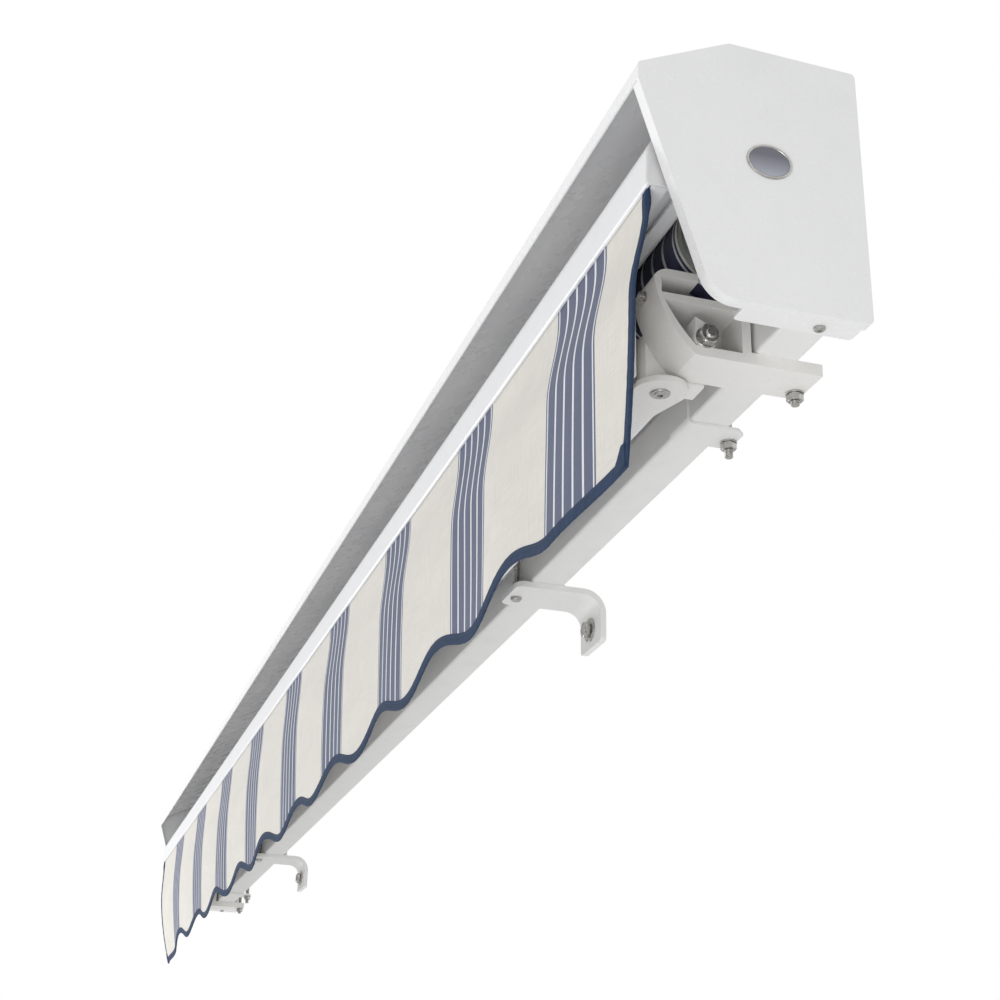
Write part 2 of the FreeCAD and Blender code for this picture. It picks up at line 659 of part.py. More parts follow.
def casting_pocket():
    curve = front_curve(CASTING_RIM)
    back = CASTING_BACK - CASTING_BACK_WALL
    shelf = low(CASTING_SHELF_UP - CASTING_RIM)
    floor = low(CASTING_RIM - CASTING_LEG + 2.5)
    return prism_x([(back, floor), (back, shelf), (ahead(CASTING_NOSE_FORWARD - CASTING_RIM - 2.5), shelf),
                    (curve[0], (ahead(54), floor))], CASTING_INNER + CASTING_WEB, CASTING_OUTER)


def shoulder_casting():
    body = prism_x(casting_outline(), CASTING_INNER, CASTING_OUTER)
    boss = rod_x(CASTING_INNER, CASTING_OUTER, PITCH_Y, PITCH_Z, PIVOT_BOSS_RADIUS)
    gusset = prism_x([(PITCH_Y - 9, PITCH_Z + 2), (PITCH_Y - 9, PITCH_Z + 18.5), (PITCH_Y + 13, PITCH_Z + 8),
                      (PITCH_Y + 9, PITCH_Z - 3)], CASTING_INNER, CASTING_OUTER)
    body = body.cut(casting_pocket().cut(boss.fuse(gusset)))
    holes = [rod_x(CASTING_INNER - 1, CASTING_OUTER + 1, PITCH_Y, PITCH_Z, PITCH_BOLT_RADIUS + SEAT_GAP),
             rod_y(CASTING_NOSE - 2, CASTING_NOSE + CASTING_RIM + 4, SCREW_X, SCREW_Z,
                   PITCH_SCREW_RADIUS + RUNNING_GAP),
             rod_z(low(-CASTING_LEG - 1), above(CASTING_JAW + 1), CASTING_BOLT_X, CASTING_BOLT_Y,
                   CLAMP_BOLT_RADIUS + RUNNING_GAP)]
    return body.cut(Part.makeCompound(holes)).removeSplitter()


def casting_clamp_bolt():
    under = low(-CASTING_LEG)
    top = above(CASTING_JAW)
    head = hex_z(CASTING_BOLT_X, CASTING_BOLT_Y, top, top + 5.3, 13.0)
    shank = rod_z(under - 12, top, CASTING_BOLT_X, CASTING_BOLT_Y, CLAMP_BOLT_RADIUS)
    washer = rod_z(under - WASHER, under, CASTING_BOLT_X, CASTING_BOLT_Y, 8.0)
    nut = hex_z(CASTING_BOLT_X, CASTING_BOLT_Y, under - WASHER - 6.5, under - WASHER, 13.0)
    return head.fuse([shank, washer, nut])


def pitch_pivot_bolt():
    """Socket-head bolt along X, sunk in the pitch block, with its nut on the casting's outer face."""
    inner = BLOCK_INNER + 1.0
    head = rod_x(inner, inner + PIVOT_HEAD, PITCH_Y, PITCH_Z, PIVOT_HEAD_RADIUS)
    shank = rod_x(inner + PIVOT_HEAD, CASTING_OUTER + WASHER + 11, PITCH_Y, PITCH_Z, PITCH_BOLT_RADIUS)
    washer = rod_x(CASTING_OUTER, CASTING_OUTER + WASHER, PITCH_Y, PITCH_Z, 9.5)
    nut = hex_x(CASTING_OUTER + WASHER, CASTING_OUTER + WASHER + 8, PITCH_Y, PITCH_Z, PIVOT_NUT)
    return head.fuse([shank, washer, nut])


# Pitch block: turns on the pivot bolt and carries the arm's upright pin

BLOCK_OUTER = CASTING_INNER - BLOCK_GAP
BLOCK_INNER = SHOULDER_X - 14.0
BLOCK_LOW = REAR_ARM_LOW + LOWER_EAR + 0.7
BLOCK_HIGH = REAR_ARM_HIGH - UPPER_EAR - 0.7
BLOCK_REAR = PITCH_Y + 19.0
PIVOT_HEAD = 6.0
PIVOT_HEAD_RADIUS = 7.5
PEG_Y = PITCH_Y + 0.5
PEG_TIP = SCREW_X + PITCH_SCREW_RADIUS + 2.0


def pitch_block():
    boss = rod_z(BLOCK_LOW, BLOCK_HIGH, SHOULDER_X, SHOULDER_Y, SHOULDER_BOSS_RADIUS)
    boss = boss.cut(box(BLOCK_OUTER, SHOULDER_X + 40, SHOULDER_Y - 40, SHOULDER_Y + 40, BLOCK_LOW, BLOCK_HIGH))
    base = box(BLOCK_INNER, BLOCK_OUTER, SHOULDER_Y, BLOCK_REAR, BLOCK_LOW, BLOCK_HIGH)
    peg_front = PEG_Y - PITCH_PEG_RADIUS - 0.5
    horn = prism_x([(BLOCK_REAR, BLOCK_HIGH - 5), (BLOCK_REAR, SCREW_Z + 2), (BLOCK_REAR - 4, SCREW_Z + 6),
                    (peg_front, SCREW_Z + 6), (peg_front, SCREW_Z - 8), (PITCH_Y + 1.5, SCREW_Z - 12),
                    (PITCH_Y + 1.5, BLOCK_HIGH - 5)], BLOCK_INNER + 6, BLOCK_OUTER)
    peg = rod_x(BLOCK_OUTER - 2, PEG_TIP, PEG_Y, SCREW_Z, PITCH_PEG_RADIUS)
    block = boss.fuse([base, horn, peg])
    block = block.cut(rod_z(BLOCK_LOW - 1, BLOCK_HIGH + 1, SHOULDER_X, SHOULDER_Y,
                            SHOULDER_PIN_RADIUS + PIN_CLEARANCE))
    bore = rod_x(BLOCK_INNER - 1, BLOCK_OUTER + 1, PITCH_Y, PITCH_Z, PITCH_BOLT_RADIUS + PIN_CLEARANCE)
    head_bore = rod_x(BLOCK_INNER - 1, BLOCK_INNER + 1 + PIVOT_HEAD + RUNNING_GAP, PITCH_Y, PITCH_Z,
                      PIVOT_HEAD_RADIUS + RUNNING_GAP)
    return block.cut(bore).cut(head_bore).removeSplitter()


def pitch_screw():
    """Screw through the casting's front wall; its head stops the pitch block's peg."""
    head_rear = PEG_Y - PITCH_PEG_RADIUS - 0.3
    head = hex_y(head_rear - 5.3, head_rear, SCREW_X, SCREW_Z, 13.0)
    shank = rod_y(CASTING_NOSE - PITCH_SCREW_STICKOUT, head_rear - 5.3, SCREW_X, SCREW_Z, PITCH_SCREW_RADIUS)
    return head.fuse(shank)


# Folding arms: two tubes with end castings and upright pins

def arm_tube(x0, x1, y, z0, width, height, corner, wall):
    outer = prism_x(rectangle(y - width / 2, y + width / 2, z0, z0 + height, corner), x0, x1)
    return outer.cut(prism_x(rectangle(y - width / 2 + wall, y + width / 2 - wall, z0 + wall, z0 + height - wall,
                                       corner - wall), x0, x1))


def arm_plug(x0, x1, y, z0, width, height, corner, wall):
    """The part of an end casting that sits inside the tube."""
    inset = wall + SEAT_GAP
    return prism_x(rectangle(y - width / 2 + inset, y + width / 2 - inset, z0 + inset, z0 + height - inset,
                             corner - inset), x0, x1)


REAR_ARM = (REAR_ARM_Y, REAR_ARM_LOW, REAR_ARM_WIDTH, REAR_ARM_HEIGHT, REAR_ARM_CORNER, REAR_ARM_WALL)
FOREARM = (FOREARM_Y, FOREARM_LOW, FOREARM_WIDTH, FOREARM_HEIGHT, FOREARM_CORNER, FOREARM_WALL)
REAR_TUBE_START = ELBOW_X + 46.0
REAR_TUBE_END = SHOULDER_X - 60.0
FOREARM_TUBE_START = ELBOW_X + 46.0
FOREARM_TUBE_END = SHOULDER_X - 33.0


def shoulder_fork():
    """Neck with two ears; the upper one is slim so that it turns past the casting."""
    neck = prism_z(tangent_hull(SHOULDER_X, SHOULDER_Y, SHOULDER_NECK_RADIUS,
                                SHOULDER_X - 44, REAR_ARM_Y, REAR_ARM_WIDTH / 2), REAR_ARM_LOW, REAR_ARM_HIGH)
    root = box(REAR_TUBE_END, SHOULDER_X - 44, REAR_ARM_Y - REAR_ARM_WIDTH / 2, REAR_ARM_Y + REAR_ARM_WIDTH / 2,
               REAR_ARM_LOW, REAR_ARM_HIGH)
    envelope = prism_x(rectangle(REAR_ARM_Y - REAR_ARM_WIDTH / 2, REAR_ARM_Y + REAR_ARM_WIDTH / 2,
                                 REAR_ARM_LOW, REAR_ARM_HIGH, REAR_ARM_CORNER), REAR_TUBE_END, SHOULDER_X + 30)
    throat = rod_z(REAR_ARM_LOW + LOWER_EAR, REAR_ARM_HIGH - UPPER_EAR, SHOULDER_X, SHOULDER_Y,
                   SHOULDER_BOSS_RADIUS + 1.5)
    lower = prism_z(tangent_hull(SHOULDER_X, SHOULDER_Y, SHOULDER_EAR_RADIUS, SHOULDER_X - 40, REAR_ARM_Y,
                                 REAR_ARM_WIDTH / 2 - 4), REAR_ARM_LOW, REAR_ARM_LOW + LOWER_EAR)
    fork = neck.fuse(root).common(envelope).cut(throat)
    fork = fork.fuse([lower, arm_plug(REAR_TUBE_END - ARM_SOCKET, REAR_TUBE_END, *REAR_ARM)])
    return fork.cut(rod_z(REAR_ARM_LOW - 1, REAR_ARM_HIGH + 1, SHOULDER_X, SHOULDER_Y,
                          SHOULDER_PIN_RADIUS + SEAT_GAP)).removeSplitter()


def shoulder_pin():
    """Headed pin, held from below by a countersunk screw on a washer."""
    shaft = rod_z(REAR_ARM_LOW, REAR_ARM_HIGH, SHOULDER_X, SHOULDER_Y, SHOULDER_PIN_RADIUS)
    head = rod_z(REAR_ARM_HIGH, REAR_ARM_HIGH + 3, SHOULDER_X, SHOULDER_Y, 9.5)
    washer = rod_z(REAR_ARM_LOW - WASHER, REAR_ARM_LOW, SHOULDER_X, SHOULDER_Y, 8.75)
    screw = Part.makeCone(4.5, 6.0, 1.2, Vector(SHOULDER_X, SHOULDER_Y, REAR_ARM_LOW - WASHER - 1.2))
    recess = hex_z(SHOULDER_X, SHOULDER_Y, REAR_ARM_LOW - WASHER - 1.2, REAR_ARM_LOW - WASHER + 1, 5.0)
    return shaft.fuse([head, washer, screw]).cut(recess).removeSplitter()


def tongue_outline(clearance):
    return tangent_hull(ELBOW_X, ELBOW_Y, ELBOW_TONGUE_RADIUS + clearance,
                        ELBOW_X + 42, FOREARM_Y, FOREARM_WIDTH / 2 + clearance)


def elbow_fork():
    """Rear arm's end: two ears round the forearm's tongue."""
    ears = prism_z(tangent_hull(ELBOW_X, ELBOW_Y, ELBOW_EAR_RADIUS, ELBOW_X + 42, REAR_ARM_Y,
                                REAR_ARM_WIDTH / 2), REAR_ARM_LOW, REAR_ARM_HIGH)
    root = prism_x(rectangle(REAR_ARM_Y - REAR_ARM_WIDTH / 2, REAR_ARM_Y + REAR_ARM_WIDTH / 2, REAR_ARM_LOW,
                             REAR_ARM_HIGH, REAR_ARM_CORNER), ELBOW_X + 42, REAR_TUBE_START)
    z0 = REAR_ARM_LOW + ELBOW_LOWER_EAR
    z1 = REAR_ARM_HIGH - ELBOW_UPPER_EAR
    gap = prism_z(tongue_outline(1.6), z0, z1)
    front = box(ELBOW_X - 40, REAR_TUBE_START, FOREARM_Y - 40, REAR_ARM_Y - REAR_ARM_WIDTH / 2 - 1.5, z0, z1)
    fork = ears.cut(gap).cut(front)
    fork = fork.common(box(ELBOW_X - 40, ELBOW_X + 42, FOREARM_Y - 40, SHOULDER_Y + 40,
                           REAR_ARM_LOW, REAR_ARM_HIGH))
    fork = fork.fuse([root, arm_plug(REAR_TUBE_START, REAR_TUBE_START + ARM_SOCKET, *REAR_ARM)])
    return fork.cut(rod_z(REAR_ARM_LOW - 1, REAR_ARM_HIGH + 1, ELBOW_X, ELBOW_Y,
                          ELBOW_PIN_RADIUS + SEAT_GAP)).removeSplitter()


def elbow_pin():
    shaft = rod_z(REAR_ARM_LOW, REAR_ARM_HIGH, ELBOW_X, ELBOW_Y, ELBOW_PIN_RADIUS)
    head = rod_z(REAR_ARM_HIGH, REAR_ARM_HIGH + 3, ELBOW_X, ELBOW_Y, 9.5)
    nut = rod_z(REAR_ARM_LOW - 3, REAR_ARM_LOW, ELBOW_X, ELBOW_Y, 8.5)
    return shaft.fuse([head, nut]).removeSplitter()


def elbow_tongue():
    """Forearm's end in the elbow fork, with its plug in the forearm tube."""
    tongue = prism_z(tongue_outline(0), FOREARM_LOW, FOREARM_HIGH)
    tongue = tongue.common(box(ELBOW_X - 40, ELBOW_X + 42, FOREARM_Y - 40, SHOULDER_Y + 40,
                               FOREARM_LOW, FOREARM_HIGH))
    root = prism_x(rectangle(FOREARM_Y - FOREARM_WIDTH / 2, FOREARM_Y + FOREARM_WIDTH / 2, FOREARM_LOW,
                             FOREARM_HIGH, FOREARM_CORNER), ELBOW_X + 42, FOREARM_TUBE_START)
    plug = arm_plug(FOREARM_TUBE_START, FOREARM_TUBE_START + ARM_SOCKET, *FOREARM)
    return tongue.fuse([root, plug]).cut(rod_z(FOREARM_LOW - 1, FOREARM_HIGH + 1, ELBOW_X, ELBOW_Y,
                                               ELBOW_PIN_RADIUS + PIN_CLEARANCE)).removeSplitter()


def wrist_eye(clearance):
    eye = prism_z(tangent_hull(SHOULDER_X, WRIST_Y, WRIST_EYE_RADIUS, SHOULDER_X - 26, FOREARM_Y,
                               FOREARM_WIDTH / 2), FOREARM_LOW, FOREARM_HIGH)
    eye = eye.common(box(SHOULDER_X - 26, SHOULDER_X + 20, FOREARM_Y - 20, FOREARM_Y + 20,
                         FOREARM_LOW, FOREARM_HIGH))
    root = prism_x(rectangle(FOREARM_Y - FOREARM_WIDTH / 2, FOREARM_Y + FOREARM_WIDTH / 2, FOREARM_LOW,
                             FOREARM_HIGH, FOREARM_CORNER), FOREARM_TUBE_END, SHOULDER_X - 26)
    plug = arm_plug(FOREARM_TUBE_END - ARM_SOCKET, FOREARM_TUBE_END, *FOREARM)
    return eye.fuse([root, plug]).cut(rod_z(FOREARM_LOW - 1, FOREARM_HIGH + 1, SHOULDER_X, WRIST_Y,
                                            WRIST_PIN_RADIUS + clearance)).removeSplitter()


def arm_spring():
    """Tension spring in its sleeve, with the pull rod to the wrist and the cable to the elbow."""
    z = FOREARM_LOW + FOREARM_HEIGHT / 2
    end = FOREARM_TUBE_END - ARM_SOCKET
    spring = rod_x(end - 60 - SPRING_LENGTH, end - 60, FOREARM_Y, z, SPRING_RADIUS)
    pull_rod = rod_x(end - 60, end, FOREARM_Y, z, CABLE_RADIUS + 1)
    cable = rod_x(FOREARM_TUBE_START + ARM_SOCKET, end - 60 - SPRING_LENGTH, FOREARM_Y, z, CABLE_RADIUS)
    return spring.fuse([pull_rod, cable])


# Rail mounts that hold the wrists

MOUNT_Y0 = RAIL_SLOT_Y + 8.0
MOUNT_Y1 = MOUNT_Y0 + MOUNT_THICKNESS
MOUNT_END = SHOULDER_X + WRIST_EYE_RADIUS + 2.5 + MOUNT_WEB
LUG_TOP = low(MOUNT_HEAD_UP)
CHANNEL_Y = RAIL_SLOT_Y + 20.5
CHANNEL_MOUTH = 11.0
CHANNEL_WIDTH = 19.0
CHANNEL_LIP = 3.0
CHANNEL_TOP = 9.0


def rail_mount():
    """Fork round the wrist eye, with a stem up into the rail's channel."""
    upper = FOREARM_HIGH + 0.6
    lower = FOREARM_LOW - 0.6
    web_x = SHOULDER_X + WRIST_EYE_RADIUS + 2.5
    outline = [(SHOULDER_X, MOUNT_Y0), (MOUNT_END, MOUNT_Y0), (MOUNT_END, MOUNT_Y1), (SHOULDER_X, MOUNT_Y1)]
    eye_round = tangent_hull(SHOULDER_X, WRIST_Y, WRIST_EYE_RADIUS, SHOULDER_X + 6, WRIST_Y, 9.0)
    low_lug = prism_z(outline, lower - MOUNT_LOWER_LUG, lower)
    low_lug = low_lug.fuse(prism_z(eye_round, lower - MOUNT_LOWER_LUG, lower))
    low_lug = low_lug.common(box(SHOULDER_X - 20, MOUNT_END, MOUNT_Y0, WRIST_Y + 20, 0, lower))
    web = box(web_x, MOUNT_END, MOUNT_Y0, MOUNT_Y1, lower, upper)
    head = box(SHOULDER_X - 20, MOUNT_END, MOUNT_Y0, MOUNT_Y1, upper, LUG_TOP)
    stem = prism_y([(SHOULDER_X - 40, RAIL_BOTTOM), (SHOULDER_X + 6, RAIL_BOTTOM), (MOUNT_END, LUG_TOP),
                    (SHOULDER_X - 20, LUG_TOP)], MOUNT_Y0 + 2, MOUNT_Y1 - 2)
    neck = box(SHOULDER_X - 40, SHOULDER_X + 6, CHANNEL_Y - MOUNT_NECK / 2, CHANNEL_Y + MOUNT_NECK / 2,
               RAIL_BOTTOM - 3, RAIL_BOTTOM + CHANNEL_LIP + 1)
    nut = box(SHOULDER_X - 40, SHOULDER_X + 6, CHANNEL_Y - CHANNEL_WIDTH / 2 + 0.5,
              CHANNEL_Y + CHANNEL_WIDTH / 2 - 0.5, RAIL_BOTTOM + CHANNEL_LIP + 0.1,
              RAIL_BOTTOM + CHANNEL_TOP - 0.5)
    mount = head.fuse([low_lug, web, stem, neck, nut])
    return mount.cut(rod_z(lower - MOUNT_LOWER_LUG - 1, upper + 20, SHOULDER_X, WRIST_Y,
                           WRIST_PIN_RADIUS + SEAT_GAP)).removeSplitter()


def wrist_pin():
    bottom = FOREARM_LOW - 0.6 - MOUNT_LOWER_LUG
    shaft = rod_z(bottom, FOREARM_HIGH + 0.6 + 20, SHOULDER_X, WRIST_Y, WRIST_PIN_RADIUS)
    return shaft.fuse(rod_z(bottom - 2, bottom, SHOULDER_X, WRIST_Y, 8.0))


# Front rail, its end caps, and the cloth edges that it grips

def rail_place(forward, height):
    """Point of the rail's section: ahead of the valance slot, above the rail's underside."""
    return RAIL_SLOT_Y - forward, RAIL_BOTTOM + height


def rail_outline():
    top = RAIL_HEIGHT
    back = -RAIL_BACK
    ridge = 29.0
    return [rail_place(RAIL_NOSE - 1.2, 0), rail_place(RAIL_NOSE, 1.5),
            rail_place(RAIL_NOSE - 1.0, ridge),
            (rail_place(RAIL_NOSE - 3.4, ridge + 11), rail_place(-9.0, top)),
            rail_place(back + 6, top), (rail_place(back + 1.8, top - 1.8), rail_place(back, top - 6)),
            rail_place(back, 6), (rail_place(back + 1.8, 1.8), rail_place(back + 6, 0))]


def rail_cavity():
    """Main chamber, stepped round the hem's keder corner at the top rear."""
    top = RAIL_HEIGHT - RAIL_WALL
    back = -RAIL_BACK + RAIL_WALL
    front = RAIL_NOSE - RAIL_WALL
    return [rail_place(front - 0.4, RAIL_FLOOR), rail_place(front - 1.0, 29.0),
            (rail_place(front - 3.2, 39.0), rail_place(-9.6, top)),
            rail_place(back + 10, top), rail_place(back + 10, top - 9), rail_place(back, top - 9),
            rail_place(back, RAIL_FLOOR)]


HEM_Y = RAIL_SLOT_Y + RAIL_BACK - 5.5
HEM_Z = RAIL_BOTTOM + RAIL_HEIGHT - 5.5
VALANCE_KEDER_Z = RAIL_BOTTOM + 6.0


def front_rail():
    body = prism_x(rail_outline(), -RAIL_HALF, RAIL_HALF)
    cuts = [prism_x(rail_cavity(), -RAIL_HALF, RAIL_HALF),
            rod_x(-RAIL_HALF, RAIL_HALF, RAIL_SLOT_Y, VALANCE_KEDER_Z, KEDER_BORE),
            prism_x(rectangle(RAIL_SLOT_Y - SLOT_GAP / 2, RAIL_SLOT_Y + SLOT_GAP / 2, RAIL_BOTTOM - 1,
                              VALANCE_KEDER_Z), -RAIL_HALF, RAIL_HALF),
            prism_x(rectangle(CHANNEL_Y - CHANNEL_MOUTH / 2, CHANNEL_Y + CHANNEL_MOUTH / 2, RAIL_BOTTOM - 1,
                              RAIL_BOTTOM + CHANNEL_LIP + 1), -RAIL_HALF, RAIL_HALF),
            prism_x(rectangle(CHANNEL_Y - CHANNEL_WIDTH / 2, CHANNEL_Y + CHANNEL_WIDTH / 2,
                              RAIL_BOTTOM + CHANNEL_LIP, RAIL_BOTTOM + CHANNEL_TOP, 1.0), -RAIL_HALF, RAIL_HALF),
            rod_x(-RAIL_HALF, RAIL_HALF, HEM_Y, HEM_Z, KEDER_BORE),
            prism_x(rectangle(HEM_Y, HEM_Y + 8, HEM_Z - SLOT_GAP / 2, HEM_Z + SLOT_GAP / 2),
                    -RAIL_HALF, RAIL_HALF)]
    for cut in cuts:
        body = body.cut(cut)
    return body


def rail_end_cap():
    return prism_x(rail_outline(), RAIL_HALF, RAIL_HALF + RAIL_CAP)


def valance_outline(inset, top):
    """Front view of the valance: leaning side edges, straight ends and a scalloped lower edge."""
    middle = RAIL_BOTTOM - VALANCE_DROP + inset
    upper = VALANCE_HALF - inset
    side = (upper - VALANCE_SIDE_LEAN, RAIL_BOTTOM - VALANCE_CORNER_DROP / 2)
    corner = (upper - VALANCE_CORNER_LEAN, RAIL_BOTTOM - VALANCE_CORNER_DROP + inset)
    first = VALANCE_HALF - VALANCE_CORNER_LEAN - SCALLOP_FLAT
    pitch = 2 * first / SCALLOPS
    steps = [(-upper, top), (upper, top), (upper, RAIL_BOTTOM), (side, corner),
             (first, middle - SCALLOP_DEPTH)]
    for i in range(SCALLOPS):
        start = first - i * pitch
        for share, swing in ((1, 0.0), (2, 1.0), (3, 0.0), (4, -1.0)):
            bulge = -0.7 if share in (1, 4) else 0.7
            steps.append(((start - (share - 0.5) * pitch / 4, middle + bulge * SCALLOP_DEPTH),
                          (start - share * pitch / 4, middle + swing * SCALLOP_DEPTH)))
    steps.append((-corner[0], corner[1]))
    steps.append(((-side[0], side[1]), (-upper, RAIL_BOTTOM)))
    return steps


def hanging_sheet(thickness):
    """The cloth or tape below the rail: it swings forward from its slot, then hangs."""
    low_edge = RAIL_BOTTOM - VALANCE_DROP - 2 * SCALLOP_DEPTH - BINDING_WIDTH
    reach = RAIL_BOTTOM - VALANCE_SWING_DROP

    def side(y):
        return [(y, RAIL_BOTTOM - 1),
                ((y - 0.6 * VALANCE_SWING, RAIL_BOTTOM - 0.4 * VALANCE_SWING_DROP),
                 (y - VALANCE_SWING, reach)),
                ((y - 0.55 * VALANCE_SWING - 0.55 * VALANCE_HEM_SWING, (reach + low_edge) / 2),
                 (y - VALANCE_HEM_SWING, low_edge))]

    front = side(RAIL_SLOT_Y - thickness / 2)
    rear = side(RAIL_SLOT_Y + thickness / 2)
    return prism_x(front + reversed_steps(rear), -HALF, HALF)


def valance_shadow(inset):
    """Everything behind the valance's front view, drawn in by the inset."""
    return prism_y(valance_outline(inset, RAIL_BOTTOM + 20), RAIL_SLOT_Y - 30, RAIL_SLOT_Y + 30)


def valance():
    in_slot = box(-HALF, HALF, RAIL_SLOT_Y - CLOTH / 2, RAIL_SLOT_Y + CLOTH / 2, RAIL_BOTTOM - 1,
                  VALANCE_KEDER_Z - KEDER_RADIUS)
    return hanging_sheet(CLOTH).fuse(in_slot).common(valance_shadow(0)).removeSplitter()


def valance_binding():
    """Folded tape over the side and lower edges of the cloth."""
    band = hanging_sheet(BINDING_THICKNESS).common(valance_shadow(0))
    return band.cut(valance_shadow(BINDING_WIDTH)).cut(valance())


def keder_rods():
    return [rod_x(-VALANCE_HALF, VALANCE_HALF, RAIL_SLOT_Y, VALANCE_KEDER_Z, KEDER_RADIUS),
            rod_x(-CLOTH_HALF, CLOTH_HALF, HEM_Y, HEM_Z, KEDER_RADIUS)]


def canopy_hem():
    """Free stretch of cloth from the rail's rear slot towards the roll's top."""
    start = (HEM_Y + KEDER_RADIUS, HEM_Z)
    mouth = (RAIL_SLOT_Y + RAIL_BACK + 1, HEM_Z)
    gap_y = ROLLER_Y - mouth[0]
    gap_z = ROLLER_Z - mouth[1]
    reach = math.hypot(gap_y, gap_z)
    heading = math.atan2(gap_z, gap_y) + math.asin((ROLLER_RADIUS + CLOTH_BUILD + 1) / reach)
    end = (mouth[0] + HEM_LENGTH * math.cos(heading), mouth[1] + HEM_LENGTH * math.sin(heading))
    return prism_x(bent_sheet([start, mouth, end], CLOTH / 2, 1.0), -CLOTH_HALF, CLOTH_HALF)


# Roller with the wound cloth, motor and bearings

def ring_x(x0, x1, outer, inner):
    return rod_x(x0, x1, ROLLER_Y, ROLLER_Z, outer).cut(rod_x(x0, x1, ROLLER_Y, ROLLER_Z, inner))


TUBE_BORE = ROLLER_RADIUS - ROLLER_WALL
CAP_INNER = HALF - CAP_PLATE - BEARING_POST
MOTOR_END = TUBE_HALF - MOTOR_LENGTH
HEAD_OUTER = TUBE_HALF + 1 + MOTOR_HEAD


def roller_tube():
    return ring_x(-TUBE_HALF, TUBE_HALF, ROLLER_RADIUS, TUBE_BORE)


def cloth_roll():
    return ring_x(-CLOTH_HALF, CLOTH_HALF, ROLLER_RADIUS + CLOTH_BUILD, ROLLER_RADIUS + SEAT_GAP)


def roller_end_plate():
    return ring_x(CLOTH_HALF + 1, CLOTH_HALF + 1 + END_PLATE, ROLLER_RADIUS + CLOTH_BUILD - END_PLATE_INSET,
                  ROLLER_RADIUS + SEAT_GAP)


def motor():
    """Tubular motor: body in the roller, head and square peg outside it."""
    body = rod_x(MOTOR_END, TUBE_HALF + 1, ROLLER_Y, ROLLER_Z, MOTOR_RADIUS)
    head = rod_x(TUBE_HALF + 1, HEAD_OUTER, ROLLER_Y, ROLLER_Z, MOTOR_HEAD_RADIUS)
    half = MOTOR_SQUARE / 2
    peg = box(HEAD_OUTER, CAP_INNER, ROLLER_Y - half, ROLLER_Y + half, ROLLER_Z - half, ROLLER_Z + half)
    return body.fuse([head, peg])


def motor_crown():
    return ring_x(TUBE_HALF - 20, TUBE_HALF, TUBE_BORE - SEAT_GAP, MOTOR_RADIUS + RUNNING_GAP)


def drive_wheel():
    wheel = rod_x(MOTOR_END - 18, MOTOR_END - RUNNING_GAP, ROLLER_Y, ROLLER_Z, TUBE_BORE - SEAT_GAP)
    lightening = [rod_x(MOTOR_END - 19, MOTOR_END, ROLLER_Y + 25 * math.cos(turn), ROLLER_Z + 25 * math.sin(turn), 6)
                  for turn in (math.radians(60 * i) for i in range(6))]
    return wheel.cut(Part.makeCompound(lightening))


def idler_plug():
    plug = rod_x(-TUBE_HALF, -TUBE_HALF + 40, ROLLER_Y, ROLLER_Z, TUBE_BORE - SEAT_GAP)
    pin = rod_x(-CAP_INNER, -TUBE_HALF, ROLLER_Y, ROLLER_Z, IDLER_PIN_RADIUS)
    return plug.fuse(pin)


def bearing_plate():
    """Square plate on four posts with a hub that reaches in towards the roller."""
    half = BEARING_PLATE_SIDE / 2
    outer = CAP_INNER
    plate = prism_x(rectangle(ROLLER_Y - half, ROLLER_Y + half, ROLLER_Z - half, ROLLER_Z + half, 8),
                    outer - BEARING_PLATE, outer)
    plate = plate.fuse(rod_x(outer - BEARING_PLATE - BEARING_HUB, outer, ROLLER_Y, ROLLER_Z, BEARING_HUB_RADIUS))
    for y, z in bearing_places():
        plate = plate.cut(rod_x(outer - BEARING_PLATE - 1, outer + 1, y, z, 2.5))
    return plate


def motor_plate():
    half = MOTOR_SQUARE / 2 + SEAT_GAP
    socket = box(CAP_INNER - 30, CAP_INNER + 1, ROLLER_Y - half, ROLLER_Y + half, ROLLER_Z - half, ROLLER_Z + half)
    return bearing_plate().cut(socket)


def idler_plate():
    bore = rod_x(-CAP_INNER - 1, -CAP_INNER + 30, ROLLER_Y, ROLLER_Z, IDLER_PIN_RADIUS + PIN_CLEARANCE)
    return mirrored(bearing_plate()).cut(bore)


def bearing_screws():
    screws = []
    for y, z in bearing_places():
        head = rod_x(CAP_INNER - BEARING_PLATE - 3, CAP_INNER - BEARING_PLATE, y, z, 4.5)
        screws.append(head.fuse(rod_x(CAP_INNER - BEARING_PLATE, CAP_INNER + 8, y, z, 1.9)))
    return screws


